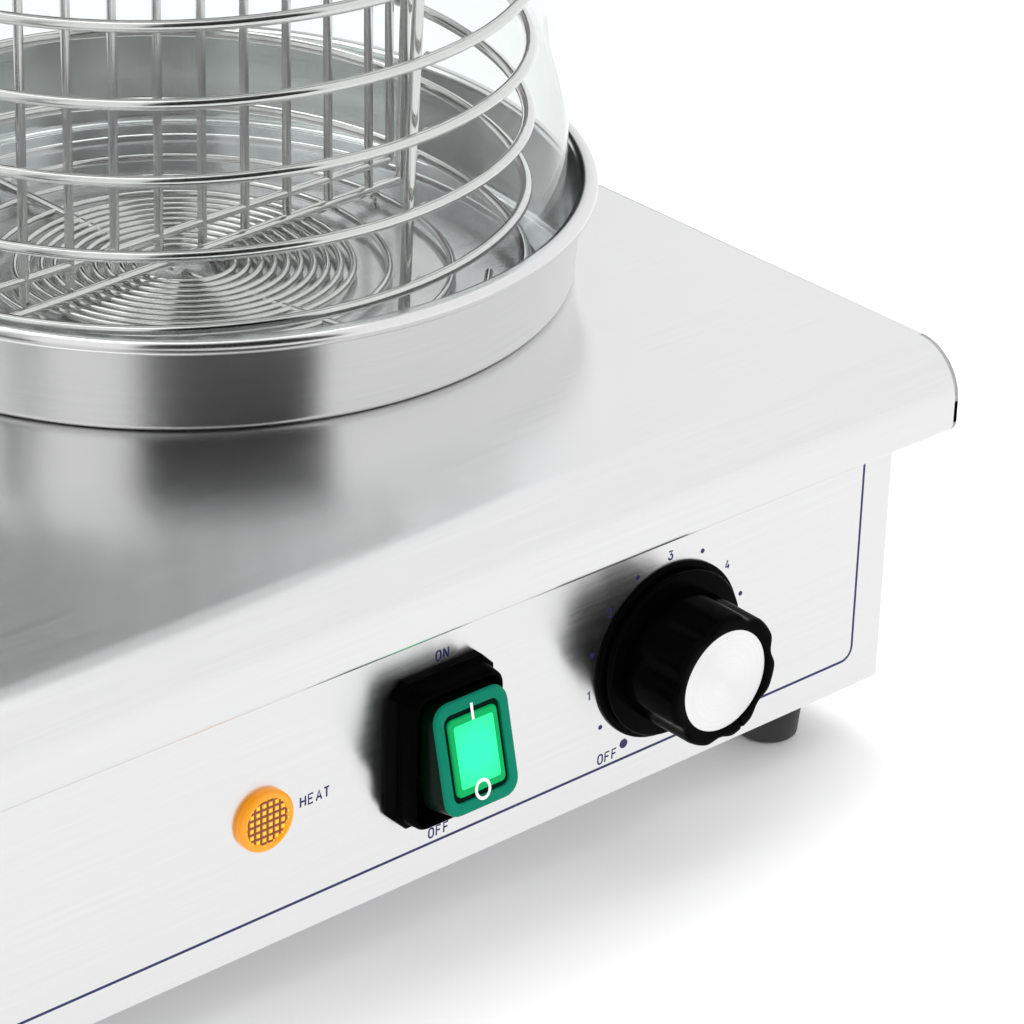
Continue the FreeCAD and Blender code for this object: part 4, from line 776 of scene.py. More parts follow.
@dataclass
class Casing:
    """Folded stainless top, body, rear panel and tray, with feet, screws and the cord gland."""

    bullnose: float = 13.8
    skirt: float = 23.0
    lip: float = 3.3
    fold: float = 0.9
    foot_top: float = 10.0
    foot_bottom: float = 8.25
    foot_inset: float = 21.8
    foot_recess: float = 4.6
    gland_x: float = -150.0
    gland_z: float = 51.0
    gland_bore: float = 4.0

    def build(self, nodes: dict[str, bpy.types.Object]) -> None:
        """Make every piece of the casing."""
        self.top_sheet()
        for name in ("body_shell", "rear_panel"):
            Piece(name + "_sheet", Body.CASING, "casing_steel", CASING_STEEL, (name,),
                  Lay.ALONG_WIDTH, crease=20.0).release_copy(nodes[name])
        self.feet()
        self.gland_dome()

    def top_sheet(self) -> None:
        """Top with its rolled front edge and closed ends, folded from one sheet."""
        low = DATUM.top - self.skirt
        chain = rounded([
            (DATUM.back, low, 0),
            (DATUM.back, DATUM.top, self.fold),
            (DATUM.front, DATUM.top, self.bullnose),
            (DATUM.front, low, self.lip),
            (DATUM.panel, low, 0),
        ], steps=24)
        bm = bmesh.new()
        side = DATUM.half_width
        verts = [bm.verts.new((-side, y, z)) for y, z in chain]
        face = bm.faces.new(verts)
        grown = bmesh.ops.extrude_face_region(bm, geom=[face])["geom"]
        ends = [item for item in grown if isinstance(item, bmesh.types.BMVert)]
        bmesh.ops.translate(bm, vec=(2 * side, 0, 0), verts=ends)
        bmesh.ops.recalc_face_normals(bm, faces=bm.faces)
        under = [f for f in bm.faces if f.normal.z < -0.99 and f.calc_center_median().y > DATUM.panel]
        bmesh.ops.delete(bm, geom=under, context="FACES")
        caps = [f for f in bm.faces if abs(f.normal.x) > 0.99]
        rims = {edge for cap in caps for edge in cap.edges if not edge.is_boundary}
        bmesh.ops.bevel(bm, geom=list(rims), offset=self.fold, segments=4, profile=0.5, affect="EDGES",
                        material=-1, clamp_overlap=True)
        bmesh.ops.recalc_face_normals(bm, faces=bm.faces)
        bmesh.ops.solidify(bm, geom=bm.faces[:], thickness=DATUM.sheet)
        Piece("top_sheet", Body.CASING, "casing_steel", CASING_STEEL, ("top_plate",), Lay.ALONG_WIDTH,
              crease=25.0).release(bm)

    def feet(self) -> None:
        """Tapered rubber feet with a recess for the screw."""
        side = DATUM.half_width - self.foot_inset
        front = DATUM.panel + self.foot_inset - DATUM.sheet
        rear = DATUM.back - self.foot_inset
        height = DATUM.foot_height
        profile = rounded([
            (2.1, 8.0, 0),
            (self.foot_recess, 8.0, 0),
            (self.foot_recess, 0.0, 0.6),
            (self.foot_bottom, 0.0, 1.0),
            (self.foot_top, height, 0.8),
            (2.1, height, 0),
        ], steps=5)
        for name, x, y in (("front_left", -side, front), ("front_right", side, front),
                           ("rear_left", -side, rear), ("rear_right", side, rear)):
            piece = Piece("foot_" + name + "_rubber", Body.CASING, "rubber", RUBBER, ("foot_" + name,))
            piece.release(moved(ring_solid(profile, 64), Vector((x, y, 0))))

    def gland_dome(self) -> None:
        """Ribbed dome nut of the cord gland."""
        start = DATUM.back - DATUM.sheet + 5.0
        out = DATUM.back + 18.0 - start
        profile = rounded([
            (self.gland_bore, 0.0, 0),
            (9.4, 0.0, 0.4),
            (9.4, 4.5, 0.4),
            (8.8, 5.2, 0.3),
            (8.8, out, 3.6),
            (self.gland_bore, out, 0.6),
        ], steps=6)
        bm = ring_solid(profile, 96)
        turn = Matrix.Rotation(math.radians(-90), 4, "X")
        place = Matrix.Translation(Vector((self.gland_x, start, self.gland_z)))
        Piece("gland_dome", Body.CASING, "black_plastic", BLACK_PLASTIC, ("gland_cap",)).release(
            moved(bm, place @ turn))


@dataclass
class WaterPan:
    """Spun pan with a rolled rim that holds the water and carries the glass."""

    recess: float = 92.0
    recess_depth: float = 3.0
    foot: float = 102.8
    corner: float = 2.4
    wall: float = 104.3
    height: float = 26.5
    bead: float = 2.0
    reach: float = 108.25
    thickness: float = 1.2

    def build(self) -> None:
        """Spin the pan's section."""
        t = self.thickness
        inner = self.wall - t
        bead_low = self.height - 2 * self.bead
        profile = rounded([
            (0.0, -self.recess_depth, 0),
            (self.recess, -self.recess_depth, 0.6),
            (self.recess, 0.0, 0.3),
            (self.foot, 0.0, self.corner),
            (self.wall, bead_low, 0.5),
            (self.reach, bead_low, self.bead * 0.97),
            (self.reach, self.height, self.bead * 0.97),
            (inner, self.height, self.bead),
            (self.foot - t, t, self.corner),
            (self.recess - t, t, 0.9),
            (self.recess - t, t - self.recess_depth, 0.6),
            (0.0, t - self.recess_depth, 0),
        ], steps=8)
        Piece("spun_pan", Body.CASING, "pan_steel", PAN_STEEL, ("water_pan",), Lay.AROUND_UPRIGHT,
              tuple(DATUM.pan_centre()), crease=40.0).release(
            moved(lathe(profile, 256), DATUM.pan_centre(DATUM.top)))


@dataclass
class GlassCylinder:
    """Open glass tube that stands in the pan."""

    radius: float = 100.0
    wall: float = 3.0
    edge: float = 0.9

    def build(self) -> None:
        """Spin the tube's wall with melted edges."""
        low, high = DATUM.glass_foot, DATUM.glass_top
        inner = self.radius - self.wall
        profile = rounded([
            (inner, low, self.edge),
            (self.radius, low, self.edge),
            (self.radius, high, self.edge),
            (inner, high, self.edge),
        ], closed=True, steps=5)
        Piece("glass_tube", Body.GLASS, "clear_glass", GLASS, ("glass_cylinder",)).release(
            moved(ring_solid(profile, 256), DATUM.pan_centre()))


@dataclass
class Basket:
    """Wire basket: wound wall, four posts, spiral floor and two lifting loops."""

    wall_wire: float = 1.5
    floor_wire: float = 1.0
    radius: float = 87.3
    flare: float = 0.45
    pitch: float = 19.6
    start_angle: float = -131.8
    start_height: float = 1.2
    turns: int = 10
    post_angle: float = 5.0
    post_bend: float = 5.0
    weld: float = 0.05
    spiral_angle: float = -42.0
    spiral_start: float = 10.3
    spiral_pitch: float = 3.42
    spiral_turns: int = 10
    wide_rings: tuple[float, ...] = (53.6, 69.7, 78.8)
    loop_width: float = 26.0
    loop_rise: float = 20.0
    loop_drop: float = 16.0
    loop_bend: float = 9.0
    nugget_size: float = 1.35

    def height_at(self, angle: float) -> float:
        """Height of the wall wire over the top sheet at an unwound angle in degrees."""
        return self.start_height + self.pitch * (angle - self.start_angle) / 360

    def radius_at(self, height: float) -> float:
        """The basket widens a little towards its top."""
        return self.radius + self.flare * height / self.pitch

    def end_angle(self) -> float:
        """Unwound angle at which the wall wire ends on a post."""
        return self.post_angle - 90 + 360 * self.turns

    def frame_height(self) -> float:
        """Height of the floor wires over the top sheet."""
        return DATUM.pan_floor - DATUM.top + self.wall_wire + self.weld

    def build(self) -> None:
        """Make the four groups of wires."""
        centre = DATUM.pan_centre(DATUM.top)
        for name, node, bm in (
            ("wall_wire", "basket_side_coil", gather([self.wall(), *self.wall_welds()])),
            ("floor_wire", "basket_floor_coil", gather([self.floor(), *self.floor_welds()])),
            ("post_wires", "basket_frame", self.posts()),
            ("lifting_loops", "basket_grips", self.loops()),
        ):
            Piece(name, Body.BASKET, "bright_wire", BRIGHT_WIRE, (node,), crease=60.0).release(
                moved(bm, centre))

    def wall(self) -> BMesh:
        """Spin the wire's section round and up, then widen the winding with its height."""
        bm = bmesh.new()
        ring = bmesh.ops.create_circle(bm, segments=16, radius=self.wall_wire)["verts"]
        upright = Matrix.Rotation(math.radians(90), 4, "X")
        place = Matrix.Translation(Vector((self.radius, 0, self.start_height)))
        start = Matrix.Rotation(math.radians(self.start_angle), 4, "Z")
        bmesh.ops.transform(bm, matrix=start @ place @ upright, verts=ring)
        wound = self.end_angle() - self.start_angle
        steps = round(wound / 3.75)
        bmesh.ops.contextual_create(bm, geom=ring)
        bmesh.ops.spin(bm, geom=bm.verts[:] + bm.edges[:], cent=(0, 0, 0), axis=(0, 0, 1),
                       dvec=(0, 0, self.pitch * wound / 360 / steps), angle=math.radians(wound),
                       steps=steps)
        for vert in bm.verts:
            widened = self.radius_at(vert.co.z) / self.radius
            vert.co.x *= widened
            vert.co.y *= widened
        self.close_ends(bm)
        return bm

    def close_ends(self, bm: BMesh) -> None:
        """Cap a wire's open ends."""
        bmesh.ops.remove_doubles(bm, verts=bm.verts, dist=1e-4)
        bmesh.ops.holes_fill(bm, edges=[edge for edge in bm.edges if edge.is_boundary])

    def floor(self) -> BMesh:
        """Flat spiral of half turns: close at the centre, wide apart further out."""
        near = self.near_radii()
        radii = []
        for here, after in zip(near, near[1:]):
            radii += [here, (here + after) / 2]
        radii.append(near[-1])
        level = self.frame_height() + self.wall_wire + self.floor_wire + self.weld
        bm = bmesh.new()
        ring = bmesh.ops.create_circle(bm, segments=12, radius=self.floor_wire)["verts"]
        upright = Matrix.Rotation(math.radians(90), 4, "X")
        place = Matrix.Translation(Vector((radii[0], 0, level)))
        bmesh.ops.transform(bm, matrix=place @ upright, verts=ring)
        last = bm.verts[:] + bm.edges[:]
        for k, (inner, outer) in enumerate(zip(radii, radii[1:])):
            middle = (inner - outer) / 2 * (1 if k % 2 == 0 else -1)
            grown = bmesh.ops.spin(bm, geom=last, cent=(middle, 0, 0), axis=(0, 0, 1), angle=math.pi,
                                   steps=36)
            last = grown["geom_last"]
        self.close_ends(bm)
        return moved(bm, Matrix.Rotation(math.radians(self.spiral_angle), 4, "Z"))

    def post_place(self, angle: float, height: float) -> Vector:
        """Point on a post's centre line."""
        reach = self.radius_at(height) - 2 * self.wall_wire - self.weld
        turn = math.radians(angle)
        return Vector((reach * math.cos(turn), reach * math.sin(turn), height))

    def nugget(self, place: Vector, along: Vector) -> BMesh:
        """Small fused lump where two wires are welded.

        Args:
            place: middle of the lump.
            along: direction from one wire to the other.

        Returns:
            The lump.
        """
        bm = bmesh.new()
        bmesh.ops.create_uvsphere(bm, u_segments=12, v_segments=8, radius=1.0)
        size = self.nugget_size
        bmesh.ops.scale(bm, vec=(size, size, size * 0.8), verts=bm.verts)
        turn = along.to_track_quat("Z", "Y").to_matrix().to_4x4()
        return moved(bm, Matrix.Translation(place) @ turn)

    def wall_welds(self) -> list[BMesh]:
        """Lumps where the wall wire passes each post."""
        lumps = []
        first = math.ceil((self.start_angle - self.post_angle) / 90)
        last = math.floor((self.end_angle() - self.post_angle) / 90)
        for quarter in range(first, last + 1):
            angle = self.post_angle + 90 * quarter
            height = self.height_at(angle)
            if height < self.frame_height() + self.post_bend:
                continue
            reach = self.radius_at(height) - self.wall_wire
            turn = math.radians(angle)
            spoke = Vector((math.cos(turn), math.sin(turn), 0.0))
            lumps.append(self.nugget(spoke * reach + Vector((0.0, 0.0, height)), spoke))
        return lumps

    def floor_welds(self) -> list[BMesh]:
        """Lumps where the wires under the floor meet every other turn of the spiral."""
        lumps = []
        level = self.frame_height() + self.wall_wire
        for quarter in range(4):
            turned = self.post_angle + 90 * quarter - self.spiral_angle
            turn = math.radians(self.post_angle + 90 * quarter)
            spoke = Vector((math.cos(turn), math.sin(turn), 0.0))
            for reach in self.floor_reaches(turned % 360)[quarter % 2::2]:
                lumps.append(self.nugget(spoke * reach + Vector((0.0, 0.0, level)), Vector((0.0, 0.0, 1.0))))
        return lumps

    def floor_reaches(self, turned: float) -> list[float]:
        """Distances from the axis at which the spiral crosses a spoke.

        Args:
            turned: degrees from the spiral's start to the spoke.

        Returns:
            One distance for each turn.
        """
        reaches = []
        bend = math.cos(math.radians(turned % 180))
        for near, far in zip(self.near_radii(), self.near_radii()[1:]):
            middle = (near + far) / 2
            start, end = (near, middle) if turned < 180 else (middle, far)
            reaches.append((start + end) / 2 + (start - end) / 2 * bend)
        return reaches

    def near_radii(self) -> list[float]:
        """Radii at which the spiral crosses its starting side, turn by turn."""
        close = [self.spiral_start + self.spiral_pitch * k for k in range(self.spiral_turns + 1)]
        return close + list(self.wide_rings)

    def posts(self) -> BMesh:
        """Four posts that run on as the two wires crossing under the floor."""
        low = self.frame_height()
        high = self.height_at(self.end_angle()) + self.wall_wire
        a, b = self.post_angle, self.post_angle + 180
        whole = [self.post_place(a, high), self.post_place(a, low), self.post_place(b, low),
                 self.post_place(b, high)]
        wires = [tube(rounded_path(whole, self.post_bend), self.wall_wire)]
        for turned in (90, -90):
            corner = self.post_place(a + turned, low)
            inner = corner.copy()
            inner.z = 0
            inner = inner.normalized() * (self.wall_wire + self.weld)
            inner.z = low
            path = [self.post_place(a + turned, high), corner, inner]
            wires.append(tube(rounded_path(path, self.post_bend), self.wall_wire))
        return gather(wires)

    def loops(self) -> BMesh:
        """Lifting loops inside the top turn, front and back."""
        half = self.loop_width / 2
        top = self.height_at(self.end_angle())
        low = top - self.loop_drop
        ring = self.radius_at(low)
        plane = math.sqrt(ring * ring - half * half) - 2 * self.wall_wire - 2 * self.weld
        wires = []
        for turned in (-90, 90):
            turn = Matrix.Rotation(math.radians(self.post_angle + turned), 3, "Z")
            path = [Vector((plane, -half, low)), Vector((plane, -half, top + self.loop_rise)),
                    Vector((plane, half, top + self.loop_rise)), Vector((plane, half, low))]
            wires.append(tube(rounded_path([turn @ point for point in path], self.loop_bend),
                              self.wall_wire))
        return gather(wires)


@dataclass
class Divider:
    """Wire grid that stands across the basket."""

    angle: float = 3.0
    half: float = 80.6
    wire: float = 1.25
    bars: int = 10
    bend: float = 8.0
    bottom: float = 4.75
    height: float = 196.0

    def build(self) -> None:
        """Make the loop and its bars."""
        turn = Matrix.Rotation(math.radians(self.angle), 4, "Z")
        place = Matrix.Translation(DATUM.pan_centre(DATUM.top)) @ turn
        low, high = self.bottom, self.bottom + self.height
        path = [Vector((0, 0, high)), Vector((self.half, 0, high)), Vector((self.half, 0, low)),
                Vector((-self.half, 0, low)), Vector((-self.half, 0, high))]
        loop = rounded_path([*path, Vector((0, 0, high))], self.bend)
        Piece("divider_loop", Body.DIVIDER, "bright_wire", BRIGHT_WIRE, ("divider_frame",),
              crease=60.0).release(moved(tube(loop[:-1], self.wire, closed=True), place))
        pitch = 2 * self.half / (self.bars + 1)
        inset = self.wire + 0.05
        rods = []
        for k in range(self.bars):
            x = -self.half + pitch * (k + 1)
            rods.append(tube([Vector((x, 0, low + inset)), Vector((x, 0, high - inset))], self.wire))
        Piece("divider_rods", Body.DIVIDER, "bright_wire", BRIGHT_WIRE, ("divider_bars",),
              crease=60.0).release(moved(gather(rods), place))


@dataclass
class Lid:
    """Shallow domed lid with a flat rim, a ring that centres it and a moulded knob."""

    rim: float = 102.8
    shelf: float = 91.0
    ring: float = 94.5
    ring_depth: float = 6.0
    dome: float = 13.0
    seat: float = 12.0
    sheet: float = 1.2
    hole: float = 2.6
    knob_radius: float = 17.0
    knob_height: float = 24.0
    knob_foot: float = 10.0

    def build(self) -> None:
        """Spin the cover, its ring and its knob."""
        place = DATUM.pan_centre(DATUM.glass_top)
        axis = tuple(DATUM.pan_centre())
        t = self.sheet
        above = self.crown()
        profile = rounded([(self.rim, 0.0, t * 0.45), (self.rim, t, t * 0.45), (self.shelf + 2, t, 0)], steps=4)
        profile += above + [(self.hole, self.dome + t), (self.hole, self.dome)]
        profile += [(r, z - t) for r, z in reversed(above)]
        profile += [(self.shelf + 2, 0.0), (self.rim - t, 0.0)]
        Piece("lid_dome", Body.LID, "spun_aluminium", SPIKE_ALUMINIUM, ("lid_cover",), Lay.AROUND_UPRIGHT,
              axis, crease=40.0).release(moved(ring_solid(profile, 192), place))
        band = rounded([
            (self.ring - t, -self.ring_depth, 0.4),
            (self.ring, -self.ring_depth, 0.4),
            (self.ring, 0.0, 0),
            (self.ring - t, 0.0, 0),
        ], closed=True, steps=4)
        Piece("lid_band", Body.LID, "spun_aluminium", SPIKE_ALUMINIUM, ("lid_ring",), Lay.AROUND_UPRIGHT,
              axis).release(moved(ring_solid(band, 192), place))
        h, r, foot = self.knob_height, self.knob_radius, self.knob_foot
        knob = rounded([
            (0.0, 0.0, 0),
            (foot, 0.0, 0.6),
            (foot - 1.4, h * 0.32, 4.0),
            (r, h * 0.62, 3.0),
            (r, h * 0.80, 3.0),
            (r * 0.6, h - 0.4, 9.0),
            (0.0, h, 0),
        ], steps=8)
        Piece("lid_grip", Body.LID, "black_plastic", BLACK_PLASTIC, ("lid_knob",), crease=50.0).release(
            moved(lathe(knob, 96), place + Vector((0, 0, self.dome + t))))

    def crown(self, steps: int = 24) -> list[Point]:
        """Arc of the dome's upper side, from the flat rim to the flat under the knob."""
        low, high = self.sheet, self.dome + self.sheet
        bulge = self.dome * 0.2
        points = []
        for n in range(steps + 1):
            part = n / steps
            rise = low + (high - low) * part + 4 * bulge * part * (1 - part)
            points.append((self.shelf + (self.seat - self.shelf) * part, rise))
        return points


@dataclass
class Spikes:
    """Four heated aluminium spikes in moulded collars."""

    columns: tuple[float, float] = (-166.8, -56.8)
    rows: tuple[float, float] = (-50.6, 49.4)
    radius: float = 11.0
    height: float = 215.0
    tip: float = 26.0
    tip_radius: float = 4.0
    collar_radius: float = 20.0
    collar_height: float = 12.0
    seat: float = 4.0

    def build(self) -> None:
        """Spin a spike and a collar for each place."""
        places = [(x, y) for y in self.rows for x in self.columns]
        for k, (x, y) in enumerate(places):
            base = Vector((x, y, DATUM.top + self.collar_height))
            axis = (x, y, 0.0)
            Piece(f"spike_sleeve_{k + 1}", Body.CASING, "spike_aluminium", SPIKE_ALUMINIUM,
                  (f"spike_{k + 1}",), Lay.AROUND_UPRIGHT, axis, crease=40.0).release(
                moved(lathe(self.sleeve_profile(), 96), base))
            Piece(f"collar_{k + 1}", Body.CASING, "black_plastic", BLACK_PLASTIC,
                  (f"spike_collar_{k + 1}",), crease=30.0).release(
                moved(ring_solid(self.collar_profile(), 96), Vector((x, y, DATUM.top))))

    def sleeve_profile(self) -> list[Point]:
        """Section of a spike from its foot to its rounded tip."""
        r, tip = self.radius, self.tip_radius
        shoulder = self.height - self.tip
        reach = self.tip - tip
        ogive = (r * r + reach * reach - tip * tip) / (2 * (r - tip))
        lean = math.atan2(reach, ogive - r)
        points = [(0.0, -self.seat), (r - 0.5, -self.seat), (r, 0.5 - self.seat), (r, shoulder - self.seat)]
        for n in range(1, 13):
            a = lean * n / 12
            points.append((r - ogive + ogive * math.cos(a), shoulder + ogive * math.sin(a) - self.seat))
        for n in range(1, 9):
            a = lean + (math.pi / 2 - lean) * n / 8
            points.append((tip * math.cos(a), self.height - tip + tip * math.sin(a) - self.seat))
        return points

    def collar_profile(self) -> list[Point]:
        """Section of a collar with a stepped foot."""
        r, h = self.collar_radius, self.collar_height
        bore = self.radius + 0.1
        return rounded([
            (5.1, 0.0, 0),
            (r, 0.0, 0.3),
            (r, 5.0, 0.9),
            (r - 2.5, h - 1.5, 0.8),
            (r - 3.5, h, 1.0),
            (bore, h, 0.5),
            (bore, h - self.seat, 0),
            (5.1, h - self.seat, 0),
        ], steps=5)


@dataclass
class Dial:
    """Thermostat knob with its bezel, spun insert and printed scale."""

    x: float = 168.75
    bezel: float = 24.0
    skirt: float = 22.4
    skirt_face: float = 3.65
    grip: float = 17.8
    lobes: int = 7
    lobe_half: float = 8.5
    valley_depth: float = 1.4
    groove_half: float = 1.9
    out: float = 21.6
    insert: float = 13.8
    pointer: float = 156.5

    def build(self) -> None:
        """Make the knob's pieces on their axis."""
        place = outward(self.x, DATUM.control_z)
        axis = (self.x, DATUM.panel, DATUM.control_z)
        bezel = rounded([(4.9, 0.0, 0), (self.bezel, 0.0, 0), (self.bezel, 1.2, 0.6), (4.9, 1.2, 0)], steps=5)
        Piece("bezel_ring", Body.CASING, "knob_plastic", KNOB_PLASTIC, ("dial_bezel",)).release(
            moved(ring_solid(bezel, 128), place))
        Piece("knob_body", Body.KNOB, "knob_plastic", KNOB_PLASTIC, ("knob_grip",), crease=28.0).release(
            moved(gather([self.skirt_disc(), self.lobed_grip()]), place))
        disc = rounded([(0.0, 20.1, 0), (self.insert - 0.05, 20.1, 0), (self.insert - 0.05, 21.3, 0.35),
                        (0.0, 21.3, 0)], steps=4)
        Piece("knob_disc", Body.KNOB, "spun_aluminium", SPUN_ALUMINIUM, ("knob_insert",),
              Lay.AROUND_OUTWARD, axis).release(moved(lathe(disc, 160), place))

    def skirt_disc(self) -> BMesh:
        """Thin flange behind the grip."""
        face = self.skirt_face
        return ring_solid(rounded([
            (3.1, 2.5, 0),
            (20.0, 2.5, 0),
            (20.0, 1.5, 0),
            (self.skirt, 1.5, 0.25),
            (self.skirt, face, 0.6),
            (self.grip - 0.4, face + 0.05, 0.3),
            (3.1, face + 0.05, 0),
        ], steps=5), 160)

    def angles(self) -> list[float]:
        """Angles of the grip's outline, closer together at the pointer's groove."""
        count = 252
        edge = self.groove_half
        kept = [360 * k / count for k in range(count) if self.from_groove(360 * k / count) > edge + 0.3]
        return sorted(kept + [(self.groove() + d) % 360 for d in (-edge - 0.08, -edge, 0.0, edge, edge + 0.08)])

    def from_groove(self, angle: float) -> float:
        """Degrees between an angle and the pointer's groove."""
        return abs((angle - self.groove() + 180) % 360 - 180)

    def groove(self) -> float:
        """Angle of the pointer's groove, counter-clockwise from the knob's own X."""
        return (90 - self.pointer) % 360

    def ring(self, radius: float, depth: float, level: float, grooved: bool = False) -> list[Vector]:
        """Lobed ring of the grip at a level.

        Args:
            radius: reach of a lobe's middle.
            depth: how far the valleys lie inside it.
            level: height out of the panel.
            grooved: sinks the ring where the pointer's groove crosses it.

        Returns:
            The ring's points.
        """
        points = []
        half = 180 / self.lobes
        for angle in self.angles():
            off = self.from_groove(angle) % (2 * half)
            off = min(off, 2 * half - off)
            part = max(0.0, off - self.lobe_half) / (half - self.lobe_half)
            reach = radius - depth * (0.5 - 0.5 * math.cos(math.pi * part))
            in_groove = self.from_groove(angle) < self.groove_half + 0.01
            height = min(level, self.out - 1.0) if grooved and in_groove else level
            a = math.radians(angle)
            points.append(Vector((reach * math.cos(a), reach * math.sin(a), height)))
        return points

    def lobed_grip(self) -> BMesh:
        """Grip with lobes, a rounded front edge and the recess for the insert."""
        g, d, out, ins = self.grip, self.valley_depth, self.out, self.insert
        base = self.skirt_face - 0.4
        rings = [
            self.ring(g + 0.15, d * 0.9, base),
            self.ring(g + 0.1, d, base + 1.2),
            self.ring(g, d, out - 1.5),
            self.ring(g - 0.12, d, out - 0.85, True),
            self.ring(g - 0.42, d * 0.98, out - 0.35, True),
            self.ring(g - 0.95, d * 0.9, out - 0.06, True),
            self.ring(g - 1.5, d * 0.75, out, True),
            self.ring(ins + 0.35, 0, out, True),
            self.ring(ins + 0.08, 0, out - 0.12, True),
            self.ring(ins, 0, out - 0.4, True),
            self.ring(ins, 0, out - 1.5),
        ]
        return loft(rings)


@dataclass
class Rocker:
    """Splash-proof lit rocker switch."""

    x: float = 92.7
    z: float = 57.1
    tilt: float = 13.4
    pivot: float = 2.5

    def build(self) -> None:
        """Make the housing and the rocker's layers."""
        place = outward(self.x, self.z)
        Piece("switch_case", Body.CASING, "switch_plastic", SWITCH_PLASTIC, ("switch_housing",),
              crease=30.0).release(moved(self.case(), place))
        place = outward(self.x, self.z, -self.tilt, self.pivot)
        Piece("rocker_body", Body.ROCKER, "rocker_green", FLANK_PLASTIC, ("switch_rocker",),
              crease=30.0).release(moved(self.flank(), place))
        Piece("rocker_frame", Body.ROCKER, "rocker_green", TEAL_PLASTIC, crease=30.0).release(
            moved(self.frame(), place))
        groove = loft([rectangle(17.6, 22.6, 2.4, 12.05), rectangle(14.6, 19.0, 1.4, 12.05)], False, False)
        Piece("rocker_groove", Body.ROCKER, "rocker_green", GROOVE_PLASTIC).release(moved(groove, place))
        border = loft([
            rectangle(15.2, 19.6, 1.5, 11.6),
            rectangle(15.2, 19.6, 1.5, 12.6),
            rectangle(14.7, 19.1, 1.3, 12.9),
            rectangle(12.5, 16.2, 0.8, 12.9),
            rectangle(12.3, 16.0, 0.7, 12.8),
        ], False, False)
        Piece("window_border", Body.ROCKER, "lens_green", BORDER_PLASTIC, ("rocker_lens",)).release(
            moved(border, place))
        pane = loft([rectangle(12.5, 16.2, 0.8, 12.4), rectangle(12.3, 16.0, 0.7, 12.85)], False, True)
        centre = place @ Vector((0.0, 0.0, 12.8))
        glow = LitWindow("window_glow", (0.0, 1.0, 0.36), (0.0, 0.62, 0.16), tuple(centre), 11.0, 1.0)
        Piece("window_pane", Body.ROCKER, "lens_green", glow).release(moved(pane, place))
        self.marks(place)

    def case(self) -> BMesh:
        """Flange with cut corners, raised collar and the body behind the panel."""
        return loft([
            rectangle(21.8, 29.8, 0.4, -26.0, True),
            rectangle(21.8, 29.8, 0.4, 0.0, True),
            rectangle(30.5, 40.0, 3.6, 0.0, True),
            rectangle(30.5, 40.0, 3.6, 2.7, True),
            rectangle(29.9, 39.4, 3.4, 3.2, True),
            rectangle(28.9, 38.3, 4.4, 3.3),
            rectangle(28.2, 37.4, 4.6, 3.8),
            rectangle(27.6, 36.8, 4.5, 7.9),
            rectangle(27.0, 36.2, 4.3, 8.4),
            rectangle(26.4, 35.4, 4.0, 8.5),
            rectangle(25.4, 34.6, 3.4, 8.2),
            rectangle(25.2, 34.4, 3.2, 0.5),
        ])

    def flank(self) -> BMesh:
        """Rocker's moulded body, below its coloured face."""
        return loft([
            rectangle(19.0, 12.0, 1.0, 0.0),
            rectangle(19.2, 12.4, 1.0, 4.0),
            rectangle(22.6, 28.0, 4.2, 4.0),
            rectangle(23.2, 28.6, 4.6, 5.0),
            rectangle(23.2, 28.6, 4.6, 12.1),
            rectangle(22.6, 28.0, 4.4, 12.1),
        ], cap_last=False)

    def frame(self) -> BMesh:
        """Coloured face of the rocker with a well for its window."""
        return loft([
            rectangle(22.7, 28.1, 4.4, 12.0),
            rectangle(23.2, 28.6, 4.6, 12.12),
            rectangle(22.9, 28.3, 4.5, 12.5),
            rectangle(22.3, 27.7, 4.2, 12.76),
            rectangle(21.6, 27.0, 3.9, 12.8),
            rectangle(18.0, 23.0, 2.5, 12.8),
            rectangle(17.5, 22.5, 2.3, 12.65),
            rectangle(17.3, 22.3, 2.2, 12.0),
        ], cap_first=False)

    def marks(self, place: Matrix) -> None:
        """White bar and ring on the rocker's face."""
        flat = Matrix.Diagonal(Vector((1.0, 1.0, 0.12, 1.0)))
        bar = moved(tube([Vector((0, -2.1, 0)), Vector((0, 2.1, 0))], 0.42), flat)
        bar = moved(bar, Vector((0.0, 10.3, 12.98)))
        path = [Vector((2.1 * math.cos(TURN * k / 48), 2.3 * math.sin(TURN * k / 48), 0)) for k in range(48)]
        ring = moved(moved(tube(path, 0.42, closed=True), flat), Vector((0.0, -9.6, 12.98)))
        Piece("rocker_marks", Body.ROCKER, "", WHITE_INK).release(moved(gather([bar, ring]), place))


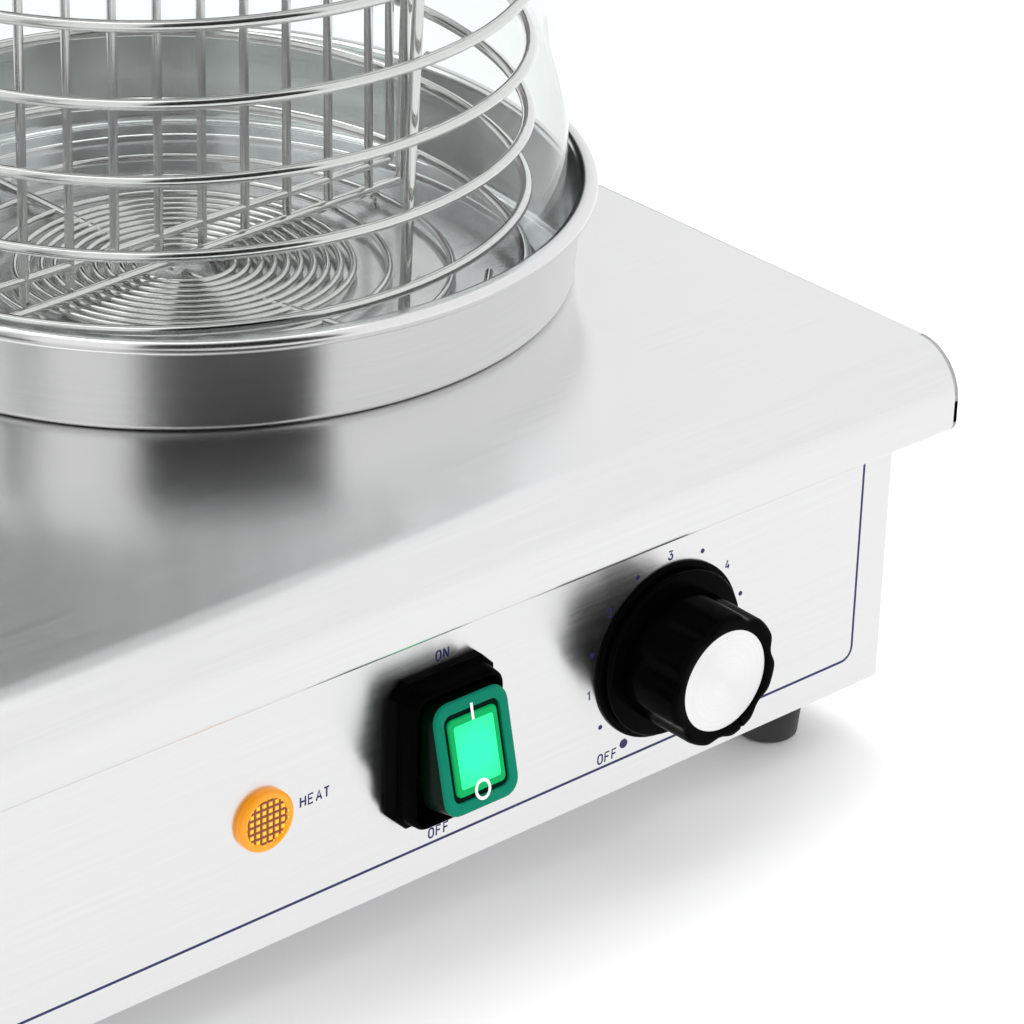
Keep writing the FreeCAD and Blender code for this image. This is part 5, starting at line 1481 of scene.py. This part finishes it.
@dataclass
class HeatLamp:
    """Amber indicator lamp with a faceted lens."""

    x: float = 39.6
    rim: float = 8.0
    face: float = 5.95
    pitch: float = 1.85

    def build(self) -> None:
        """Make the rim and the faceted face."""
        place = outward(self.x, DATUM.control_z)
        centre = place @ Vector((0.0, 0.0, 0.0))
        bezel = rounded([
            (self.face - 0.4, 0.6, 0),
            (self.rim, 0.0, 0.0),
            (self.rim, 1.9, 1.1),
            (self.face + 0.75, 2.4, 0.5),
            (self.face, 1.5, 0.2),
            (self.face - 0.4, 1.5, 0),
        ], steps=6)
        glow = LitWindow("lamp_rim", (1.0, 0.42, 0.01), (0.50, 0.09, 0.0), tuple(centre), 12.0, 0.75)
        Piece("lamp_bezel", Body.CASING, "lamp_amber", glow, ("lamp_lens",), crease=35.0).release(
            moved(ring_solid(bezel, 96), place))
        bm = bmesh.new()
        cells = 8
        bmesh.ops.create_grid(bm, x_segments=cells, y_segments=cells, size=cells * self.pitch / 2)
        bmesh.ops.poke(bm, faces=bm.faces[:], offset=0.55)
        away = [face for face in bm.faces if face.calc_center_median().length > self.face + 0.4]
        bmesh.ops.delete(bm, geom=away, context="FACES")
        grid = LampGrid("lamp_grid", (1.0, 0.45, 0.01), (0.13, 0.02, 0.0), self.pitch, tuple(centre), 0.8)
        Piece("lamp_face", Body.CASING, "lamp_amber", grid, crease=5.0).release(
            moved(moved(bm, Vector((0, 0, 1.55))), place))


GLYPHS: dict[str, list[list[Corner]]] = {
    "O": [[(0, 0, 0.28), (0.56, 0, 0.28), (0.56, 1, 0.28), (0, 1, 0.28)]],
    "N": [[(0, 0, 0), (0, 1, 0)], [(0, 1, 0), (0.56, 0, 0)], [(0.56, 0, 0), (0.56, 1, 0)]],
    "F": [[(0, 0, 0), (0, 1, 0), (0.52, 1, 0)], [(0, 0.52, 0), (0.44, 0.52, 0)]],
    "H": [[(0, 0, 0), (0, 1, 0)], [(0.56, 0, 0), (0.56, 1, 0)], [(0, 0.52, 0), (0.56, 0.52, 0)]],
    "E": [[(0.52, 0, 0), (0, 0, 0), (0, 1, 0), (0.52, 1, 0)], [(0, 0.52, 0), (0.44, 0.52, 0)]],
    "A": [[(0, 0, 0), (0.3, 1, 0), (0.6, 0, 0)], [(0.1, 0.32, 0), (0.5, 0.32, 0)]],
    "T": [[(0.28, 0, 0), (0.28, 1, 0)], [(0, 1, 0), (0.56, 1, 0)]],
    "1": [[(0.06, 0.76, 0), (0.34, 1, 0), (0.34, 0, 0)]],
    "2": [[(0, 0.74, 0), (0, 1, 0.26), (0.54, 1, 0.26), (0.54, 0.58, 0.16), (0, 0, 0), (0.56, 0, 0)]],
    "3": [[(0.02, 1, 0), (0.54, 1, 0), (0.24, 0.6, 0), (0.56, 0.6, 0.26), (0.56, 0, 0.28), (0, 0, 0.26),
           (0, 0.2, 0)]],
    "4": [[(0.34, 1, 0), (0, 0.26, 0), (0.58, 0.26, 0)], [(0.42, 0.5, 0), (0.42, 0, 0)]],
    "5": [[(0.52, 1, 0), (0.06, 1, 0), (0.04, 0.58, 0), (0.56, 0.62, 0.26), (0.56, 0, 0.28), (0, 0, 0.26),
           (0, 0.18, 0)]],
    "6": [[(0, 0, 0.27), (0.56, 0, 0.27), (0.56, 0.6, 0.27), (0, 0.6, 0.27)], [(0.36, 1, 0), (0.04, 0.44, 0)]],
}
CLOSED_GLYPHS = ("O", "6")


@dataclass
class Print:
    """Navy printing on the front panel: words, dial scale and border line."""

    stroke: float = 0.25
    depth: float = 0.05
    letter: float = 2.6
    spacing: float = 0.92
    line_x: float = 237.1
    line_z: float = 27.7
    line_bend: float = 3.6
    line_half: float = 0.38
    dial_radius: float = 26.4
    dial_step: float = 24.9

    def build(self, dial: Dial, rocker: Rocker) -> None:
        """Print everything on the panel."""
        switch_x = rocker.x + 1.4
        marks = self.word("ON", switch_x, DATUM.top - 40.5)
        marks += self.word("OFF", switch_x, DATUM.top - 89.5)
        marks += self.word("HEAT", 55.2, DATUM.top - 65.2)
        marks += self.word("OFF", 149.8, DATUM.top - 89.7)
        marks += self.scale(dial)
        self.release("panel_print", marks)
        side, low = self.line_x, self.line_z
        top = DATUM.top - 23.2
        corners = [(-side, top, 0), (-side, low, self.line_bend), (side, low, self.line_bend), (side, top, 0)]
        self.release("border_line", [self.strip(rounded(corners, steps=8), self.line_half)])

    def release(self, name: str, marks: Sequence[BMesh]) -> None:
        """Join marks into one printed piece on the panel."""
        bm = moved(gather(marks), Vector((0, DATUM.panel - self.depth * 0.4, 0)))
        Piece(name, Body.CASING, "", NAVY_INK, crease=60.0).release(bm)

    def strip(self, points: Sequence[Point], half: float, closed: bool = False) -> BMesh:
        """Flat stroke through points on the panel."""
        bm = tube([Vector((x, 0, z)) for x, z in points], half, closed, 2)
        return moved(bm, Matrix.Diagonal(Vector((1.0, self.depth / half, 1.0, 1.0))))

    def word(self, text: str, x: float, z: float, size: float = 0.0) -> list[BMesh]:
        """Strokes of a word centred on a point."""
        height = size or self.letter
        width = height * (self.spacing * (len(text) - 1) + 0.56)
        strokes = []
        for k, letter in enumerate(text):
            left = x - width / 2 + k * self.spacing * height
            for n, path in enumerate(GLYPHS[letter]):
                closed = letter in CLOSED_GLYPHS and n == 0
                points = [(left + px * height, z + (pz - 0.5) * height) for px, pz in rounded(path, closed)]
                strokes.append(self.strip(points, self.stroke, closed))
        return strokes

    def scale(self, dial: Dial) -> list[BMesh]:
        """Dots and numbers round the dial, the large dot marking its off position."""
        marks = []
        for k in range(13):
            angle = math.radians((k - 6) * self.dial_step)
            x = dial.x + self.dial_radius * math.sin(angle)
            z = DATUM.control_z + self.dial_radius * math.cos(angle)
            if k % 2 == 0 and k > 0:
                marks += self.word(str(k // 2), x, z, 2.3)
            else:
                marks.append(self.dot(x, z, 1.3 if k == 0 else 0.65))
        return marks

    def dot(self, x: float, z: float, radius: float) -> BMesh:
        """Printed round dot."""
        bm = lathe([(0.0, self.depth), (radius, self.depth), (radius, 0.0)], 32)
        turn = Matrix.Rotation(math.radians(90), 4, "X")
        return moved(moved(bm, turn), Vector((x, 0, z)))


# Carried-over solids

SOLID_FINISHES: dict[Finish, tuple[str, ...]] = {
    PLAIN_STEEL: ("bottom_plate", "element_clamp"),
    ZINC: ("casing_screws", "foot_screws", "foot_nuts", "thermostat_screws", "thermostat_shaft",
           "element_nut", "spike_nuts", "earth_stud", "lid_screw"),
    BLACK_PLASTIC: ("cable_gland", "gland_locknut", "lamp_body", "lamp_nut"),
    PALE_PLASTIC: ("thermostat_body", "safety_cutout", "terminal_block"),
    DARK_STEEL: ("heating_element", "spike_heaters"),
    BRASS: ("switch_terminals",),
    COPPER: ("thermostat_probe",),
    LEAD_SLEEVE: ("wiring",),
}


def dress_solids(nodes: dict[str, bpy.types.Object]) -> None:
    """Give the solids that stay their finishes."""
    for finish, names in SOLID_FINISHES.items():
        for name in names:
            slots = nodes[name].data.materials
            slots.clear()
            slots.append(finish.material())
            LOG.info("%s keeps its solid in %s", name, finish.name)


# Studio


@dataclass
class Studio:
    """Pale floor, soft lights, studio surroundings and the camera."""

    floor_size: float = 14.0
    floor_colour: Colour = (0.97, 0.97, 0.97)
    floor_sheen: float = 1.03
    sky: float = 1.8
    near_gap: tuple[float, float] = (-141.0, -84.0)
    far_gap: tuple[float, float] = (49.5, 84.0)
    left_gap: tuple[float, float] = (105.0, 165.0)
    gap_edge: float = 3.0
    azimuth: float = -42.29
    elevation: float = 27.52
    roll: float = 1.68
    focal: float = 4299.34
    frame: float = 1024.0
    distance: float = 1122.58
    aim: tuple[float, float] = (180.95, 257.83)

    def build(self) -> None:
        """Set the scene up."""
        scene = bpy.context.scene
        scene.view_settings.view_transform = "Standard"
        self.floor()
        self.surroundings(scene)
        self.softbox("overhead_box", (0.1, 0.45, 1.9), (0.1, 0.05, 0.0), 1.6, 12.0)
        self.camera(scene)

    def floor(self) -> None:
        """Wide plain floor; polished surfaces see it evenly lit."""
        bm = bmesh.new()
        bmesh.ops.create_grid(bm, x_segments=4, y_segments=4, size=self.floor_size / 2)
        mesh = bpy.data.meshes.new("studio_floor")
        bm.to_mesh(mesh)
        bm.free()
        material = bpy.data.materials.new("studio_floor")
        material.use_nodes = True
        shader = material.node_tree.nodes["Principled BSDF"]
        shader.inputs["Base Color"].default_value = (*self.floor_colour, 1.0)
        shader.inputs["Roughness"].default_value = 0.9
        shader.inputs["Specular IOR Level"].default_value = 0.1
        sheet = Sheet(material.node_tree)
        seen = sheet.add("Emission")
        seen.inputs["Color"].default_value = (self.floor_sheen, self.floor_sheen, self.floor_sheen, 1.0)
        mix = sheet.add("MixShader")
        sheet.feed(mix.inputs[0], sheet.math("MULTIPLY", sheet.add("LightPath").outputs["Is Glossy Ray"], 0.9))
        sheet.feed(mix.inputs[1], shader.outputs[0])
        sheet.feed(mix.inputs[2], seen.outputs[0])
        sheet.feed(material.node_tree.nodes["Material Output"].inputs[0], mix.outputs[0])
        mesh.materials.append(material)
        floor = bpy.data.objects.new("studio_floor", mesh)
        bpy.context.scene.collection.objects.link(floor)

    def surroundings(self, scene: bpy.types.Scene) -> None:
        """White for the camera; for light and reflections, a bright room with dark gaps."""
        world = bpy.data.worlds.new("studio")
        world.use_nodes = True
        scene.world = world
        world.node_tree.nodes.clear()
        sheet = Sheet(world.node_tree)
        split = sheet.add("SeparateXYZ")
        sheet.feed(split.inputs[0], sheet.add("TexCoord").outputs["Generated"])
        around = sheet.math("ARCTAN2", split.outputs[1], split.outputs[0])
        degrees = sheet.math("MULTIPLY", around, 180 / math.pi)
        height = split.outputs[2]
        near = self.gap(sheet, degrees, self.near_gap, sheet.remap(height, 0.85, 0.98, 1.0, 0.0, True))
        far = self.gap(sheet, degrees, self.far_gap, sheet.remap(height, 0.55, 0.75, 1.0, 0.0, True))
        left = self.gap(sheet, degrees, self.left_gap, sheet.remap(height, 0.45, 0.65, 1.0, 0.0, True))
        gap = sheet.math("MAXIMUM", sheet.math("MAXIMUM", near, far), left)
        room = sheet.blend(gap, (1.0, 1.0, 1.0, 1.0), (0.005, 0.005, 0.005, 1.0))
        lit = sheet.add("Background")
        sheet.feed(lit.inputs[0], room)
        path = sheet.add("LightPath")
        dim = sheet.remap(path.outputs["Is Diffuse Ray"], 0.0, 1.0, 1.0, self.sky)
        sheet.feed(lit.inputs[1], dim)
        white = sheet.math("MAXIMUM", path.outputs["Is Camera Ray"], path.outputs["Is Transmission Ray"])
        plain = sheet.add("Background")
        plain.inputs[0].default_value = (1.0, 1.0, 1.0, 1.0)
        mix = sheet.add("MixShader")
        sheet.feed(mix.inputs[0], white)
        sheet.feed(mix.inputs[1], lit.outputs[0])
        sheet.feed(mix.inputs[2], plain.outputs[0])
        sink = sheet.add("OutputWorld")
        sheet.feed(sink.inputs[0], mix.outputs[0])

    def gap(self, sheet: Sheet, degrees: bpy.types.NodeSocket, span: tuple[float, float],
            level: bpy.types.NodeSocket) -> bpy.types.NodeSocket:
        """Mask of a dark opening between two bright walls.

        Args:
            sheet: the world's tree.
            degrees: direction round the room.
            span: where the opening starts and ends.
            level: mask of the heights that it covers.

        Returns:
            One inside the opening.
        """
        start, end = span
        opens = sheet.remap(degrees, start, start + self.gap_edge, 0.0, 1.0, True)
        closes = sheet.remap(degrees, end - self.gap_edge, end, 1.0, 0.0, True)
        return sheet.math("MULTIPLY", sheet.math("MULTIPLY", opens, closes), level)

    def softbox(self, name: str, place: Sequence[float], target: Sequence[float], size: float,
                power: float) -> None:
        """Square area light aimed at a point."""
        light = bpy.data.lights.new(name, "AREA")
        light.shape = "SQUARE"
        light.size = size
        light.energy = power
        lamp = bpy.data.objects.new(name, light)
        lamp.location = place
        lamp.rotation_euler = (Vector(target) - Vector(place)).to_track_quat("-Z", "Y").to_euler()
        bpy.context.scene.collection.objects.link(lamp)

    def camera(self, scene: bpy.types.Scene) -> None:
        """Camera whose frame puts the pan's axis at its place in the picture."""
        az, el, roll = (math.radians(a) for a in (self.azimuth, self.elevation, self.roll))
        look = Vector((-math.sin(az) * math.cos(el), math.cos(az) * math.cos(el), -math.sin(el)))
        level = Vector((math.cos(az), math.sin(az), 0.0))
        down = look.cross(level)
        right = level * math.cos(roll) - down * math.sin(roll)
        low = level * math.sin(roll) + down * math.cos(roll)
        half = self.frame / 2
        across, drop = ((place - half) / self.focal * self.distance for place in self.aim)
        place = DATUM.pan_centre(DATUM.top) - right * across - low * drop - look * self.distance
        matrix = Matrix((right, -low, -look)).transposed().to_4x4()
        matrix.translation = place * MM
        data = bpy.data.cameras.new("studio_camera")
        data.sensor_width = 36.0
        data.lens = self.focal / self.frame * data.sensor_width
        data.clip_start = 0.05
        camera = bpy.data.objects.new("studio_camera", data)
        camera.matrix_world = matrix
        scene.collection.objects.link(camera)
        scene.camera = camera


def main() -> None:
    """Load the solids, dress them and set the studio up."""
    logging.basicConfig(level=logging.INFO, format="%(message)s")
    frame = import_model()
    nodes = frame["nodes"]
    dress_solids(nodes)
    dial, rocker = Dial(), Rocker()
    Casing().build(nodes)
    WaterPan().build()
    GlassCylinder().build()
    Basket().build()
    Divider().build()
    Lid().build()
    Spikes().build()
    dial.build()
    rocker.build()
    HeatLamp().build()
    Print().build(dial, rocker)
    Studio().build()


if __name__ == "__main__":
    main()
